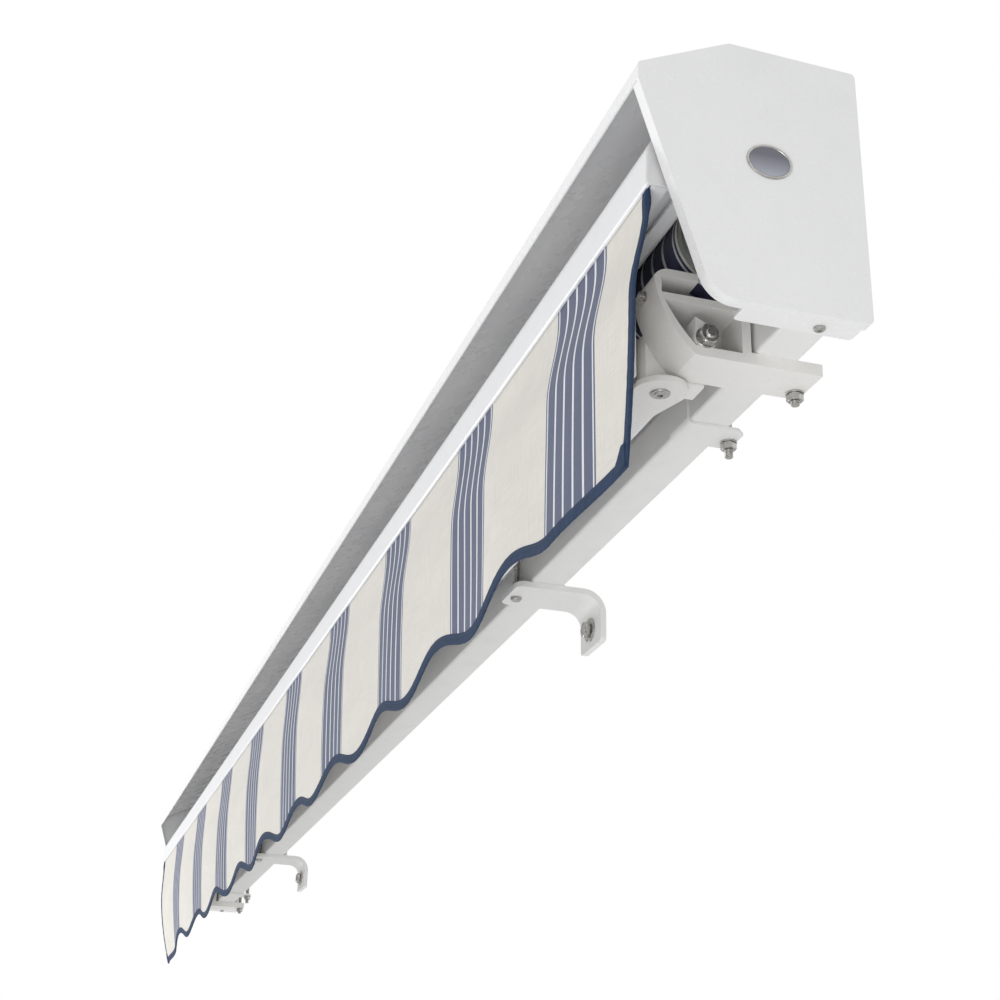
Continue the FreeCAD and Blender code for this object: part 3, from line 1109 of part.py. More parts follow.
def main():
    os.makedirs("parts", exist_ok=True)
    save("torsion_bar", torsion_bar())
    save("hood_cover", hood_cover())
    save_pair("hood_end_cap", end_cap())
    save("cap_badge", badge())
    save("cap_screws", both_ends([cap_screw()]))
    save_pair("wall_bracket", wall_bracket())
    save("bracket_straps", both_ends([bracket_strap()]))
    save("bracket_bolts", both_ends([bracket_bolt()]))
    save("saddle_plates", both_ends([saddle_plate()]))
    save("hood_supports", both_ends([hood_support()]))
    save("saddle_bolts", both_ends([saddle_bolt()]))
    save_pair("shoulder_casting", shoulder_casting())
    save("casting_clamp_bolts", both_ends([casting_clamp_bolt()]))
    save("pitch_pivot_bolts", both_ends([pitch_pivot_bolt()]))
    save_pair("pitch_block", pitch_block())
    save_pair("pitch_screw", pitch_screw())
    save_pair("rear_arm_tube", arm_tube(REAR_TUBE_START, REAR_TUBE_END, *REAR_ARM))
    save_pair("shoulder_fork", shoulder_fork())
    save_pair("shoulder_pin", shoulder_pin())
    save_pair("elbow_fork", elbow_fork())
    save_pair("elbow_pin", elbow_pin())
    save_pair("forearm_tube", arm_tube(FOREARM_TUBE_START, FOREARM_TUBE_END, *FOREARM))
    save_pair("elbow_tongue", elbow_tongue())
    save("wrist_eye_right", wrist_eye(PIN_CLEARANCE))
    save("wrist_eye_left", mirrored(wrist_eye(OPEN_PIVOT_CLEARANCE)))
    save_pair("arm_spring", arm_spring())
    save_pair("rail_mount", rail_mount())
    save("wrist_pins", both_ends([wrist_pin()]))
    save("front_rail", front_rail())
    save("rail_end_caps", both_ends([rail_end_cap()]))
    save("valance", valance())
    save("valance_binding", valance_binding())
    save("keder_rods", keder_rods())
    save("canopy_hem", canopy_hem())
    save("cloth_roll", cloth_roll())
    save("roller_tube", roller_tube())
    save("roller_end_plates", both_ends([roller_end_plate()]))
    save("roller_motor", motor())
    save("motor_crown", motor_crown())
    save("drive_wheel", drive_wheel())
    save("idler_plug", idler_plug())
    save("motor_plate", motor_plate())
    save("idler_plate", idler_plate())
    save("bearing_screws", both_ends(bearing_screws()))


if __name__ == "__main__":
    main()
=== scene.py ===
"""Retractable folding-arm awning with a rigid hood: paint, steel and cloth on the fixed frame.

Laid out as an add-on with one operator for each group of pieces. Everything is in metres:
X runs along the awning, Y points into the wall and Z is up.
"""

import math
import random

import bpy
from mathutils import Matrix, Vector


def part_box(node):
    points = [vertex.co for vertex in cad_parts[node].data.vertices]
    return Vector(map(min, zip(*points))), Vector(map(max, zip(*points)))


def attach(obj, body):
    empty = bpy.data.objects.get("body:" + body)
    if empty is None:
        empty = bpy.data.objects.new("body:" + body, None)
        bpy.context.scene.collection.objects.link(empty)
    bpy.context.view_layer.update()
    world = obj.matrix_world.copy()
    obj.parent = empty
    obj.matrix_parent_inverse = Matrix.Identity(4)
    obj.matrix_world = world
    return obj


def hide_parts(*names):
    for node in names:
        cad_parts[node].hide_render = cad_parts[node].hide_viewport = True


bl_info = {
    "name": "Retractable Awning",
    "version": (1, 0, 0),
    "blender": (4, 5, 0),
    "location": "View3D > Sidebar > Awning",
    "description": "Dresses a hooded folding-arm awning in paint, steel and striped cloth",
    "category": "Object",
}

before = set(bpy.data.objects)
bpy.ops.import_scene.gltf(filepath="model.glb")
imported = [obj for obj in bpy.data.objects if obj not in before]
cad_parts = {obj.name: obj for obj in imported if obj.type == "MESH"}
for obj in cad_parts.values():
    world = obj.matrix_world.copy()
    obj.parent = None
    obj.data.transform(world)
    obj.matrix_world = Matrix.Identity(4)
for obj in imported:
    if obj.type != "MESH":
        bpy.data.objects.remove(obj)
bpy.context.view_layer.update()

MM = 0.001
TURN = 2 * math.pi
WHITE = (1.0, 1.0, 1.0, 1.0)
BLACK = (0.0, 0.0, 0.0, 1.0)


# Places read from the frame

ROLL_LOW, ROLL_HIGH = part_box("cloth_roll")
TUBE_LOW, TUBE_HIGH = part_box("roller_tube")
BADGE_LOW, BADGE_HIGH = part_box("cap_badge")
HEM_LOW, HEM_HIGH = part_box("canopy_hem")

SLOT_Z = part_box("front_rail")[0].z
CLOTH_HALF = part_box("valance")[1].x
KEDER_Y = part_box("keder_rods")[0].y + 0.0022


# Sizes and colours that a user would change

def length(name, description, default):
    return bpy.props.FloatProperty(name=name, description=description, default=default,
                                   min=0.0, max=10.0, unit="LENGTH", precision=4)


def colour(name, description, default):
    return bpy.props.FloatVectorProperty(name=name, description=description, default=default,
                                         subtype="COLOR", size=3, min=0.0, max=1.0)


def power(name, description, default):
    return bpy.props.FloatProperty(name=name, description=description, default=default,
                                   min=0.0, unit="POWER")


class AwningColours(bpy.types.PropertyGroup):
    """Paint, metal and cloth colours."""
    paint: colour("Steel paint", "Powder coat on the bar and the brackets", (0.835, 0.835, 0.82))
    casting: colour("Casting paint", "Powder coat on the castings", (0.83, 0.82, 0.795))
    sheet: colour("Hood paint", "Powder coat on the hood and its caps", (0.885, 0.888, 0.892))
    extrusion: colour("Rail paint", "Powder coat on the rail and the arms", (0.80, 0.807, 0.825))
    stainless: colour("Stainless steel", "Bolts, nuts and washers", (0.50, 0.49, 0.47))
    zinc: colour("Zinc", "Roller tube, springs and hidden plates", (0.50, 0.51, 0.52))
    badge: colour("Badge", "Face of the oval badge", (0.16, 0.165, 0.19))
    cream: colour("Cream cloth", "Ground of the cloth", (0.735, 0.708, 0.662))
    stripe: colour("Stripe", "Slate-blue stripes of the cloth", (0.092, 0.112, 0.186))
    pinstripe: colour("Pinstripe", "Thin lines in the bands", (0.80, 0.81, 0.84))
    # Painted shade: the wound cloth's stripes are a darker copy of the valance's stripes, standing
    # in for the shade inside the hood.
    roll_stripe_painted_shade: colour("Roll stripe with painted shade", "The stripes' face side, as wound", (0.046, 0.050, 0.112))
    navy: colour("Binding", "Tape round the valance", (0.025, 0.045, 0.091))
    # Painted shade: the plates sit in shadow inside the hood, and that shade is painted into their
    # dark grey-olive colour.
    plate: colour("End plate", "Moulded plates at the roll's ends", (0.26, 0.27, 0.245))
    moulded: colour("Rail cap", "Moulded caps of the rail", (0.70, 0.70, 0.70))
    motor: colour("Motor", "Painted motor case", (0.05, 0.052, 0.058))


class AwningCloth(bpy.types.PropertyGroup):
    """Pattern and hang of the cloth."""
    stripe_pitch: length("Stripe pitch", "One repeat of the pattern", 0.322)
    stripe_centre: length("Stripe centre", "Middle of the central band", 0.060)
    roll_centre: length("Roll stripe with painted shade centre", "Middle of a band at the roll's end", 1.376)
    thread: length("Thread", "Spacing of the weave", 0.0011)
    cloth: length("Cloth", "Thickness of the cloth", 0.0007)
    corner_drop: length("Corner drop", "Rail to the lower corners", 0.235)
    middle_drop: length("Middle drop", "Rail to the middle of the scallops", 0.222)
    scallop_depth: length("Scallop depth", "Half height of a scallop", 0.012)
    scallop_flat: length("Straight end", "Lower edge from a corner to the first trough", 0.172)
    scallops: bpy.props.IntProperty(name="Scallops", description="Waves of the lower edge",
                                    default=10, min=2)
    side_lean: length("Side lean", "Side edge halfway down, in from the top", 0.007)
    corner_lean: length("Corner lean", "Lower corner, in from the top", 0.027)
    tape: length("Tape", "Width of the binding on the cloth", 0.0107)
    tape_rise: length("Tape rise", "How far the binding stands off the cloth", 0.0013)
    stitch: length("Stitch", "Spacing of the stitches", 0.0036)
    layer: length("Layer", "Spacing of the wound layers", 0.0006)


class AwningStage(bpy.types.PropertyGroup):
    """Camera, floor and light."""
    camera_place: bpy.props.FloatVectorProperty(
        name="Camera", description="Where the picture is taken from",
        default=(2.5530, -0.6560, -0.6240), subtype="TRANSLATION", unit="LENGTH")
    lens: bpy.props.FloatProperty(name="Lens", description="Focal length on a 36 mm frame",
                                  default=60.30, min=1.0, unit="CAMERA")
    floor_drop: length("Floor", "Floor below the wall bolts", 2.3)
    sky: bpy.props.FloatProperty(name="Sky", description="Light from all round", default=0.67,
                                 min=0.0, max=4.0, subtype="FACTOR")
    front: power("Front lamp", "Lamp ahead of the left-hand half", 124.0)
    low: power("Low lamp", "Lamp below the right-hand end", 53.0)


# Shader graphs

class Graph:
    """Adds and links nodes in one node tree."""

    def __init__(self, tree):
        self.tree = tree
        self.column = 0

    def add(self, kind, **settings):
        node = self.tree.nodes.new(kind)
        for key, value in settings.items():
            setattr(node, key, value)
        self.column += 1
        node.location = (180 * self.column, 0)
        return node

    def feed(self, socket, value):
        """Links a socket or sets a plain value."""
        if isinstance(value, bpy.types.NodeSocket):
            self.tree.links.new(value, socket)
        else:
            socket.default_value = value

    def wire(self, kind, output, inputs, **settings):
        """Adds a node, feeds its inputs and gives one of its outputs."""
        node = self.add(kind, **settings)
        for key, value in inputs.items():
            self.feed(node.inputs[key], value)
        return node.outputs[output]

    def math(self, operation, *values, clamp=False):
        return self.wire("ShaderNodeMath", 0, dict(enumerate(values)), operation=operation,
                         use_clamp=clamp)

    def mix(self, factor, first, second):
        return self.wire("ShaderNodeMix", 2, {"Factor": factor, 6: first, 7: second},
                         data_type="RGBA")

    def noise(self, vector, scale, detail=3.0, roughness=0.5):
        return self.wire("ShaderNodeTexNoise", "Fac", {
            "Vector": vector, "Scale": scale, "Detail": detail, "Roughness": roughness})

    def remap(self, value, low, high, to_low, to_high):
        return self.wire("ShaderNodeMapRange", "Result", {
            "Value": value, "From Min": low, "From Max": high,
            "To Min": to_low, "To Max": to_high})

    def spread(self, noise, to_low, to_high):
        """Maps a noise's usual range onto another."""
        return self.remap(noise, 0.3, 0.7, to_low, to_high)

    def stretch(self, vector, scale):
        return self.wire("ShaderNodeMapping", 0, {"Vector": vector, "Scale": scale})

    def shade(self, base, factor):
        """A colour made darker or lighter by a factor."""
        return self.wire("ShaderNodeHueSaturation", 0, {"Color": base, "Value": factor})

    def split(self, vector):
        node = self.add("ShaderNodeSeparateXYZ")
        self.feed(node.inputs[0], vector)
        return node.outputs

    def place(self):
        return self.add("ShaderNodeTexCoord").outputs["Object"]

    def flat(self):
        """Coordinates on the cloth before it was hung or wound."""
        return self.add("ShaderNodeUVMap", uv_map="Flat").outputs[0]

    def surface(self, base, roughness, height, strength, depth, **plain):
        """Feeds the Principled shader: colour, roughness, bump and plain numbers by short name."""
        inputs = self.tree.nodes["Principled BSDF"].inputs
        self.feed(inputs["Base Color"], base)
        self.feed(inputs["Roughness"], roughness)
        self.feed(inputs["Normal"], self.wire("ShaderNodeBump", 0, {
            "Strength": strength, "Distance": depth, "Height": height}))
        for key, number in plain.items():
            inputs[PLAIN_SOCKETS[key]].default_value = number


PLAIN_SOCKETS = {"metallic": "Metallic", "brushed": "Anisotropic", "specular": "Specular IOR Level",
                 "sheen": "Sheen Weight", "sheen_roughness": "Sheen Roughness"}


def toned(tint, share=1.0, lift=0.0):
    """An opaque colour, darker or paler than the given one."""
    return (*[min(1.0, channel * share + lift) for channel in tint[:3]], 1.0)


# Effects that several materials share, each wired inside a node group of its own

def paint_grain(g, given):
    """Powder coat: fine orange peel, a slow drift of tone and an uneven gloss."""
    place = g.place()
    drift = g.math("SUBTRACT", g.noise(place, 9.0, 4.0), 0.5)
    tone = g.math("ADD", g.math("MULTIPLY", drift, given["Drift"]), 1.0)
    return {"Colour": g.shade(given["Colour"], tone),
            "Height": g.noise(place, given["Grain"], 2.0),
            "Gloss": g.noise(place, 35.0, 5.0)}


def handling_marks(g, given):
    """Thin grey dust and rub marks, as a mask."""
    place = g.place()
    patches = g.remap(g.noise(place, given["Scale"], 6.0, 0.6), 0.52, 0.72, 0.0, 1.0)
    specks = g.remap(g.noise(place, 420.0, 2.0), 0.60, 0.72, 0.0, 1.0)
    marks = g.math("ADD", g.math("MULTIPLY", patches, 0.6), g.math("MULTIPLY", specks, 0.4))
    return {"Mask": g.math("MULTIPLY", marks, given["Amount"], clamp=True)}


def canvas_weave(g, given):
    """Warp and weft threads with slubs, on a flat coordinate in metres."""
    flat = g.split(given["Flat"])
    rate = g.math("DIVIDE", TURN, given["Thread"])
    warp, weft = (g.math("SINE", g.math("MULTIPLY", flat[axis], rate)) for axis in "XY")
    down, across = (g.noise(g.stretch(given["Flat"], scale), 1.0)
                    for scale in ((900, 26, 1), (26, 900, 1)))
    slubs = g.math("ADD", down, across)
    weave = g.math("MULTIPLY", g.math("MULTIPLY", warp, weft), 0.35)
    return {"Height": g.math("ADD", weave, slubs),
            "Tone": g.remap(slubs, 0.7, 1.3, 0.90, 1.07)}


# Half of a band from its middle outwards, in millimetres
BAND = (("stripe", 9.5), ("pin", 4.0), ("stripe", 19.0), ("pin", 4.0), ("stripe", 19.0),
        ("pin", 2.6), ("stripe", 3.6))
BAND_HALF = sum(width for _, width in BAND)
RAMP_REACH = BAND_HALF + 1


def awning_stripes(g, given):
    """Bands across the cloth: blue stripes, thin lines between them and a line at each edge."""
    turns = g.math("DIVIDE", given["Across"], given["Pitch"])
    share = g.math("SUBTRACT", g.math("FRACT", g.math("ADD", turns, 0.5)), 0.5)
    off = g.math("MULTIPLY", g.math("ABSOLUTE", share), given["Pitch"])
    position = g.math("DIVIDE", off, RAMP_REACH * MM)
    masks = []
    for wanted in ("stripe", "pin"):
        ramp = g.add("ShaderNodeValToRGB")
        ramp.color_ramp.interpolation = "CONSTANT"
        g.feed(ramp.inputs[0], position)
        stops = ramp.color_ramp.elements
        stops[0].position = 0.0
        stops[0].color = WHITE if BAND[0][0] == wanted else BLACK
        edge = BAND[0][1]
        for part, width in BAND[1:]:
            stops.new(edge / RAMP_REACH).color = WHITE if part == wanted else BLACK
            edge += width
        stops[-1].position = BAND_HALF / RAMP_REACH
        stops[-1].color = BLACK
        masks.append(ramp.outputs[0])
    striped = g.mix(masks[0], given["Ground"], given["Stripe"])
    return {"Colour": g.mix(masks[1], striped, given["Pinstripe"])}


# Each effect's inputs with their defaults, and its outputs with an example of their values
EFFECTS = {
    "Paint Grain": (paint_grain, {"Colour": WHITE, "Grain": 900.0, "Drift": 0.04},
                    {"Colour": WHITE, "Height": 0.0, "Gloss": 0.0}),
    "Handling Marks": (handling_marks, {"Scale": 30.0, "Amount": 0.5}, {"Mask": 0.0}),
    "Canvas Weave": (canvas_weave, {"Flat": (0.0, 0.0, 0.0), "Thread": 0.0011},
                     {"Height": 0.0, "Tone": 0.0}),
    "Awning Stripes": (awning_stripes, {"Across": 0.0, "Pitch": 0.3, "Ground": WHITE,
                                        "Stripe": BLACK, "Pinstripe": WHITE}, {"Colour": WHITE}),
}


def socket_kind(example):
    if isinstance(example, float):
        return "NodeSocketFloat"
    return "NodeSocketColor" if len(example) == 4 else "NodeSocketVector"


def shared_effect(name):
    """The node group of an effect, built when it is first asked for."""
    tree = bpy.data.node_groups.get(name)
    if tree:
        return tree
    wire, inputs, outputs = EFFECTS[name]
    tree = bpy.data.node_groups.new(name, "ShaderNodeTree")
    for label, default in inputs.items():
        socket = tree.interface.new_socket(label, in_out="INPUT", socket_type=socket_kind(default))
        socket.default_value = default
    for label, example in outputs.items():
        tree.interface.new_socket(label, in_out="OUTPUT", socket_type=socket_kind(example))
    g = Graph(tree)
    results = wire(g, g.add("NodeGroupInput").outputs)
    ends = g.add("NodeGroupOutput").inputs
    for label, value in results.items():
        g.feed(ends[label], value)
    return tree


def use_effect(g, name, **values):
    """Places an effect in a material, fills its inputs and gives its outputs."""
    node = g.add("ShaderNodeGroup", node_tree=shared_effect(name))
    for label, value in values.items():
        g.feed(node.inputs[label], value)
    return node.outputs


# Materials

def material(name, wire, *values, **options):
    """A named material: the one made before, or a new one that wire fills in."""
    made = bpy.data.materials.get(name)
    if not made:
        made = bpy.data.materials.new(name)
        made.use_nodes = True
        wire(Graph(made.node_tree), *values, **options)
    return made


def painted(g, tint, roughness, grain=900.0, peel=0.12, dust=0.25):
    """Powder coat with a little dust in it."""
    grained = use_effect(g, "Paint Grain", Colour=toned(tint), Grain=grain)
    marks = use_effect(g, "Handling Marks", Amount=dust)
    g.surface(g.mix(marks["Mask"], grained["Colour"], toned(tint, 0.72)),
              g.spread(grained["Gloss"], roughness - 0.06, roughness + 0.08),
              grained["Height"], peel, 0.0002)


def drawn_paint(g, tint):
    """Paint on an extrusion: faint lines along its length under a satin coat."""
    grained = use_effect(g, "Paint Grain", Colour=toned(tint), Grain=700.0, Drift=0.03)
    marks = use_effect(g, "Handling Marks", Amount=0.18)
    lines = g.noise(g.stretch(g.place(), (0.6, 900, 900)), 1.0, 2.0)
    height = g.math("ADD", g.math("MULTIPLY", grained["Height"], 0.5), lines)
    g.surface(g.mix(marks["Mask"], grained["Colour"], toned(tint, 0.75)),
              g.spread(lines, 0.30, 0.40), height, 0.10, 0.0002)


def cast_paint(g, tint):
    """Paint over sand-cast aluminium: a coarser skin, darker in its pits."""
    grained = use_effect(g, "Paint Grain", Colour=toned(tint), Grain=620.0, Drift=0.06)
    marks = use_effect(g, "Handling Marks", Scale=55.0, Amount=0.06)
    skin = g.noise(g.place(), 240.0, 4.0)
    pits = g.remap(skin, 0.30, 0.42, 0.14, 0.0)
    # Dust marks, and darkening where the skin's bump is low.
    dust_and_pit_darkening = g.math("ADD", marks["Mask"], pits, clamp=True)
    height = g.math("ADD", g.math("MULTIPLY", grained["Height"], 0.4), skin)
    g.surface(g.mix(dust_and_pit_darkening, grained["Colour"], toned(tint, 0.68)),
              g.spread(grained["Gloss"], 0.40, 0.56), height, 0.22, 0.0004)


def bare_metal(g, tint, roughness, brushed=0.4):
    """Machined steel with fine tool marks and finger-worn gloss."""
    place = g.place()
    tool = g.noise(g.stretch(place, (1600, 96, 1600)), 1.0, 2.0)
    wear = g.noise(place, 260.0, 5.0)
    stain = g.remap(wear, 0.48, 0.75, 0.0, 0.65)
    g.surface(g.mix(stain, toned(tint), toned(tint, 0.55)),
              g.spread(wear, roughness - 0.07, roughness + 0.14),
              tool, 0.15, 0.0001, metallic=1.0, brushed=brushed)


def galvanised(g, tint):
    """Zinc spangle on the roller tube and the hidden steel."""
    spangle = g.wire("ShaderNodeTexVoronoi", "Distance", {"Vector": g.place(), "Scale": 160.0})
    grey = g.remap(spangle, 0.0, 0.8, 0.78, 1.05)
    g.surface(g.mix(grey, toned(tint, 0.7), toned(tint)),
              g.remap(spangle, 0.0, 0.8, 0.35, 0.52), spangle, 0.10, 0.0002, metallic=0.9)


def moulded(g, tint):
    """Moulded plastic with a spark-eroded grain and flow marks."""
    place = g.place()
    grain = g.noise(place, 1500.0, 2.0)
    flow = g.noise(g.stretch(place, (12, 40, 40)), 1.0, 4.0)
    g.surface(g.mix(g.remap(flow, 0.35, 0.75, 0.0, 0.8), toned(tint), toned(tint, 0.82)),
              g.spread(grain, 0.45, 0.58), grain, 0.18, 0.0002, specular=0.45)


def striped_canvas(g, cloth, centre, ground, stripe, pinstripe):
    """Solution-dyed acrylic: woven stripes, slubs and a soft sheen."""
    flat = g.flat()
    across = g.math("SUBTRACT", g.split(flat)["X"], centre)
    bands = use_effect(g, "Awning Stripes", Across=across, Pitch=cloth.stripe_pitch,
                       Ground=toned(ground), Stripe=toned(stripe), Pinstripe=toned(pinstripe))
    weave = use_effect(g, "Canvas Weave", Flat=flat, Thread=cloth.thread)
    soil = g.noise(g.stretch(flat, (7, 22, 1)), 1.0, 5.0)
    tone = g.math("MULTIPLY", weave["Tone"], g.remap(soil, 0.3, 0.75, 1.02, 0.955))
    g.surface(g.shade(bands["Colour"], tone), g.remap(weave["Height"], 0.6, 1.4, 0.92, 0.78),
              weave["Height"], 0.35, 0.0003, sheen=0.15, sheen_roughness=0.5, specular=0.25)


def woven_tape(g, tint):
    """Navy binding: close ribs across the tape and a paler, rubbed crown."""
    flat = g.flat()
    weave = use_effect(g, "Canvas Weave", Flat=flat, Thread=0.0014)
    rub = g.noise(g.stretch(flat, (35, 120, 1)), 1.0, 5.0)
    worn = g.mix(g.remap(rub, 0.45, 0.8, 0.0, 0.75), toned(tint), toned(tint, 1.5, 0.004))
    g.surface(g.shade(worn, g.remap(weave["Tone"], 0.9, 1.07, 0.75, 1.25)),
              g.spread(rub, 0.72, 0.88), weave["Height"], 0.5, 0.0004, specular=0.16)


def sewing_thread(g, tint):
    """Twisted polyester thread, somewhat paler than its tape."""
    twist = g.noise(g.place(), 2600.0, 1.0)
    g.surface(g.mix(twist, toned(tint, 0.96), toned(tint, 1.6)),
              g.remap(twist, 0.2, 0.8, 0.5, 0.7), twist, 0.3, 0.0001)


def brushed_badge(g, tint):
    """Bare badge face: satin metal brushed along its length, with painted light making it paler
    towards the lower edge.
    """
    place = g.place()
    brush = g.noise(g.stretch(place, (1, 60, 3200)), 1.0)
    # Painted light: the face is paler towards its lower edge.
    painted_light_fade = g.remap(g.split(place)["Z"], BADGE_LOW.z, BADGE_HIGH.z - 0.010, 1.0, 0.0)
    g.surface(g.mix(painted_light_fade, toned(tint), toned(tint, 2.6)), g.spread(brush, 0.30, 0.44),
              brush, 0.12, 0.0001, metallic=0.55, brushed=0.5)


def pale_floor(g):
    """Matt floor that lets the view through from below."""
    nodes = g.tree.nodes
    shader = nodes["Principled BSDF"]
    speckle = g.noise(g.place(), 14.0, 4.0)
    g.feed(shader.inputs["Base Color"], g.mix(speckle, toned(WHITE, 0.88), toned(WHITE, 0.93)))
    shader.inputs["Roughness"].default_value = 0.9
    g.feed(nodes["Material Output"].inputs["Surface"], g.wire("ShaderNodeMixShader", 0, {
        0: g.add("ShaderNodeNewGeometry").outputs["Backfacing"],
        1: shader.outputs[0],
        2: g.add("ShaderNodeBsdfTransparent").outputs[0]}))


# Each finish: how it is made, the setting that holds its colour, and its other values
FINISHES = {
    "White powder coat": (painted, "paint", {"roughness": 0.40}),
    "Hood paint": (painted, "sheet", {"roughness": 0.28, "grain": 1100.0, "peel": 0.07,
                                      "dust": 0.12}),
    "Motor case": (painted, "motor", {"roughness": 0.34, "grain": 700.0, "dust": 0.2}),
    "Extrusion paint": (drawn_paint, "extrusion", {}),
    "Painted casting": (cast_paint, "casting", {}),
    "Stainless steel": (bare_metal, "stainless", {"roughness": 0.24}),
    "Polished rim": (bare_metal, "stainless", {"roughness": 0.16, "brushed": 0.0}),
    "Brushed badge": (brushed_badge, "badge", {}),
    "Zinc plate": (galvanised, "zinc", {}),
    "Moulded cap": (moulded, "moulded", {}),
    "Keder": (moulded, "moulded", {}),
    "End plate": (moulded, "plate", {}),
    "Navy tape": (woven_tape, "navy", {}),
    "Navy thread": (sewing_thread, "navy", {}),
}


def finish(name):
    """A finish of the table, in the colour that the settings give it."""
    wire, key, values = FINISHES[name]
    return material(name, wire, getattr(bpy.context.scene.awning_colours, key), **values)


# Meshes

def ring(radius, z, segments):
    """Points round the local Z axis; radius is a number, or a function of the angle."""
    points = []
    for j in range(segments):
        turn = TURN * j / segments
        r = radius(turn) if callable(radius) else radius
        points.append((r * math.cos(turn), r * math.sin(turn), z))
    return points


def hexagon(across):
    """Radius of a hexagon as a function of the angle, from its width across the flats."""
    sixth = math.pi / 6
    return lambda turn: across / 2 / math.cos((turn + sixth) % (2 * sixth) - sixth)


# Turned end face of a hexagon, as a share of its width, and a thread's depth in pitches
CHAMFER_CIRCLE = 0.95
CHAMFER_SLOPE = math.tan(math.radians(30))
THREAD_DEPTH = 0.55
RINGS_PER_TURN = 6
# A bolt's tip: its share of the radius, and how many pitches of its taper are missing
TIP_SHARE, TIP_CUT = 0.86, 0.35


class Shape:
    """Vertices, faces and flat coordinates of one piece."""

    def __init__(self):
        self.points = []
        self.faces = []
        self.flat = []

    def add_grid(self, rows, flat=None, around=False, matrix=None):
        """A sheet of quads over rows of points; around joins each row's ends."""
        base = len(self.points)
        width = len(rows[0])
        for row in rows:
            self.points.extend(matrix @ Vector(p) if matrix else Vector(p) for p in row)
        for row in flat or [[(0.0, 0.0)] * width] * len(rows):
            self.flat.extend(row)
        for i in range(len(rows) - 1):
            for j in range(width if around else width - 1):
                k = (j + 1) % width
                self.faces.append((base + i * width + j, base + i * width + k,
                                   base + (i + 1) * width + k, base + (i + 1) * width + j))
        return base

    def add_cap(self, start, count, flip=False):
        corners = tuple(range(start, start + count))
        self.faces.append(corners[::-1] if flip else corners)

    def add_closed(self, rings, matrix=None, flat=None):
        """Rings joined into a tube and closed at both ends."""
        base = self.add_grid(rings, flat, around=True, matrix=matrix)
        width = len(rings[0])
        self.add_cap(base, width, flip=True)
        self.add_cap(base + width * (len(rings) - 1), width)

    def add_lathe(self, profile, matrix, segments=32):
        """A turned form from its (radius, height) points."""
        self.add_closed([ring(radius, z, segments) for radius, z in profile], matrix)

    def add_hex(self, across, low, high, matrix):
        """A nut's or a bolt head's hexagon with its turned chamfers."""
        corner = across / math.sqrt(3)
        face = across / 2 * CHAMFER_CIRCLE
        cut = (corner - face) * CHAMFER_SLOPE
        side = hexagon(across)
        rings = []
        for z, opened in ((low, 0.0), (low + cut * 0.5, 0.5), (low + cut, 1.0),
                          (high - cut, 1.0), (high - cut * 0.5, 0.5), (high, 0.0)):
            limit = face + opened * (corner - face)
            rings.append(ring(lambda turn: min(side(turn), limit), z, 48))
        self.add_closed(rings, matrix)

    def add_thread(self, radius, low, high, pitch, matrix, segments=24):
        """A threaded shank with a chamfered tip at its high end."""
        steps = max(4, int((high - low) / pitch * RINGS_PER_TURN))
        depth = THREAD_DEPTH * pitch
        rings = []
        for i in range(steps + 1):
            z = low + (high - low) * i / steps
            tip = TIP_SHARE + (1 - TIP_SHARE) * min(1.0, (high - z) / pitch + TIP_CUT)

            def crest(turn):
                wave = (z / pitch - turn / TURN) % 1.0
                return (radius - depth * abs(2 * wave - 1)) * tip

            rings.append(ring(crest, z, segments))
        self.add_closed(rings, matrix)

    def add_cloth(self, columns, rows, point, facing=1):
        """Both faces of a sheet, joined at its rim; point gives a place and its flat place."""
        sides = []
        for face in (1, -1):
            grid, flat = [], []
            for j in range(rows + 1):
                found = [point(i, j, face) for i in range(columns + 1)]
                if face != facing:
                    found.reverse()
                grid.append([place for place, _ in found])
                flat.append([mark for _, mark in found])
            sides.append(self.add_grid(grid, flat))
        self.close_rim(*sides, columns, rows)

    def close_rim(self, front, back, right, bottom):
        """Joins a sheet's two faces along its four edges."""
        width = right + 1
        edge = [(0, j) for j in range(right)] + [(i, right) for i in range(bottom)]
        edge += [(bottom, j) for j in range(right, 0, -1)] + [(i, 0) for i in range(bottom, 0, -1)]
        for (i, j), (k, m) in zip(edge, edge[1:] + edge[:1]):
            self.faces.append((front + i * width + j, front + k * width + m,
                               back + k * width + right - m, back + i * width + right - j))


def add_object(name, data):
    made = bpy.data.objects.new(name, data)
    bpy.context.scene.collection.objects.link(made)
    return made


def make_piece(name, shape, body, look, replaces=(), sharp=35.0):
    """One object from a shape, riding on its body."""
    mesh = bpy.data.meshes.new(name)
    mesh.from_pydata(shape.points, [], shape.faces)
    mesh.validate()
    if any(mark != (0.0, 0.0) for mark in shape.flat):
        layer = mesh.uv_layers.new(name="Flat")
        for loop in mesh.loops:
            layer.data[loop.index].uv = shape.flat[loop.vertex_index]
    mesh.shade_smooth()
    mesh.set_sharp_from_angle(angle=math.radians(sharp))
    mesh.materials.append(look)
    piece = add_object(name, mesh)
    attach(piece, body)
    if replaces:
        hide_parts(*replaces)
    return piece


def soften(piece, width):
    """Rounds a CAD node's edges as paint and casting do; its own mesh stays as it is."""
    weld = piece.modifiers.new("Weld", "WELD")
    weld.merge_threshold = 0.00001
    flatten = piece.modifiers.new("Flats", "DECIMATE")
    flatten.decimate_type = "DISSOLVE"
    flatten.angle_limit = math.radians(0.4)
    rounding = piece.modifiers.new("Edges", "BEVEL")
    rounding.width = width
    rounding.segments = 3
    rounding.limit_method = "ANGLE"
    rounding.angle_limit = math.radians(38.0)
    rounding.harden_normals = True
    rounding.use_clamp_overlap = True


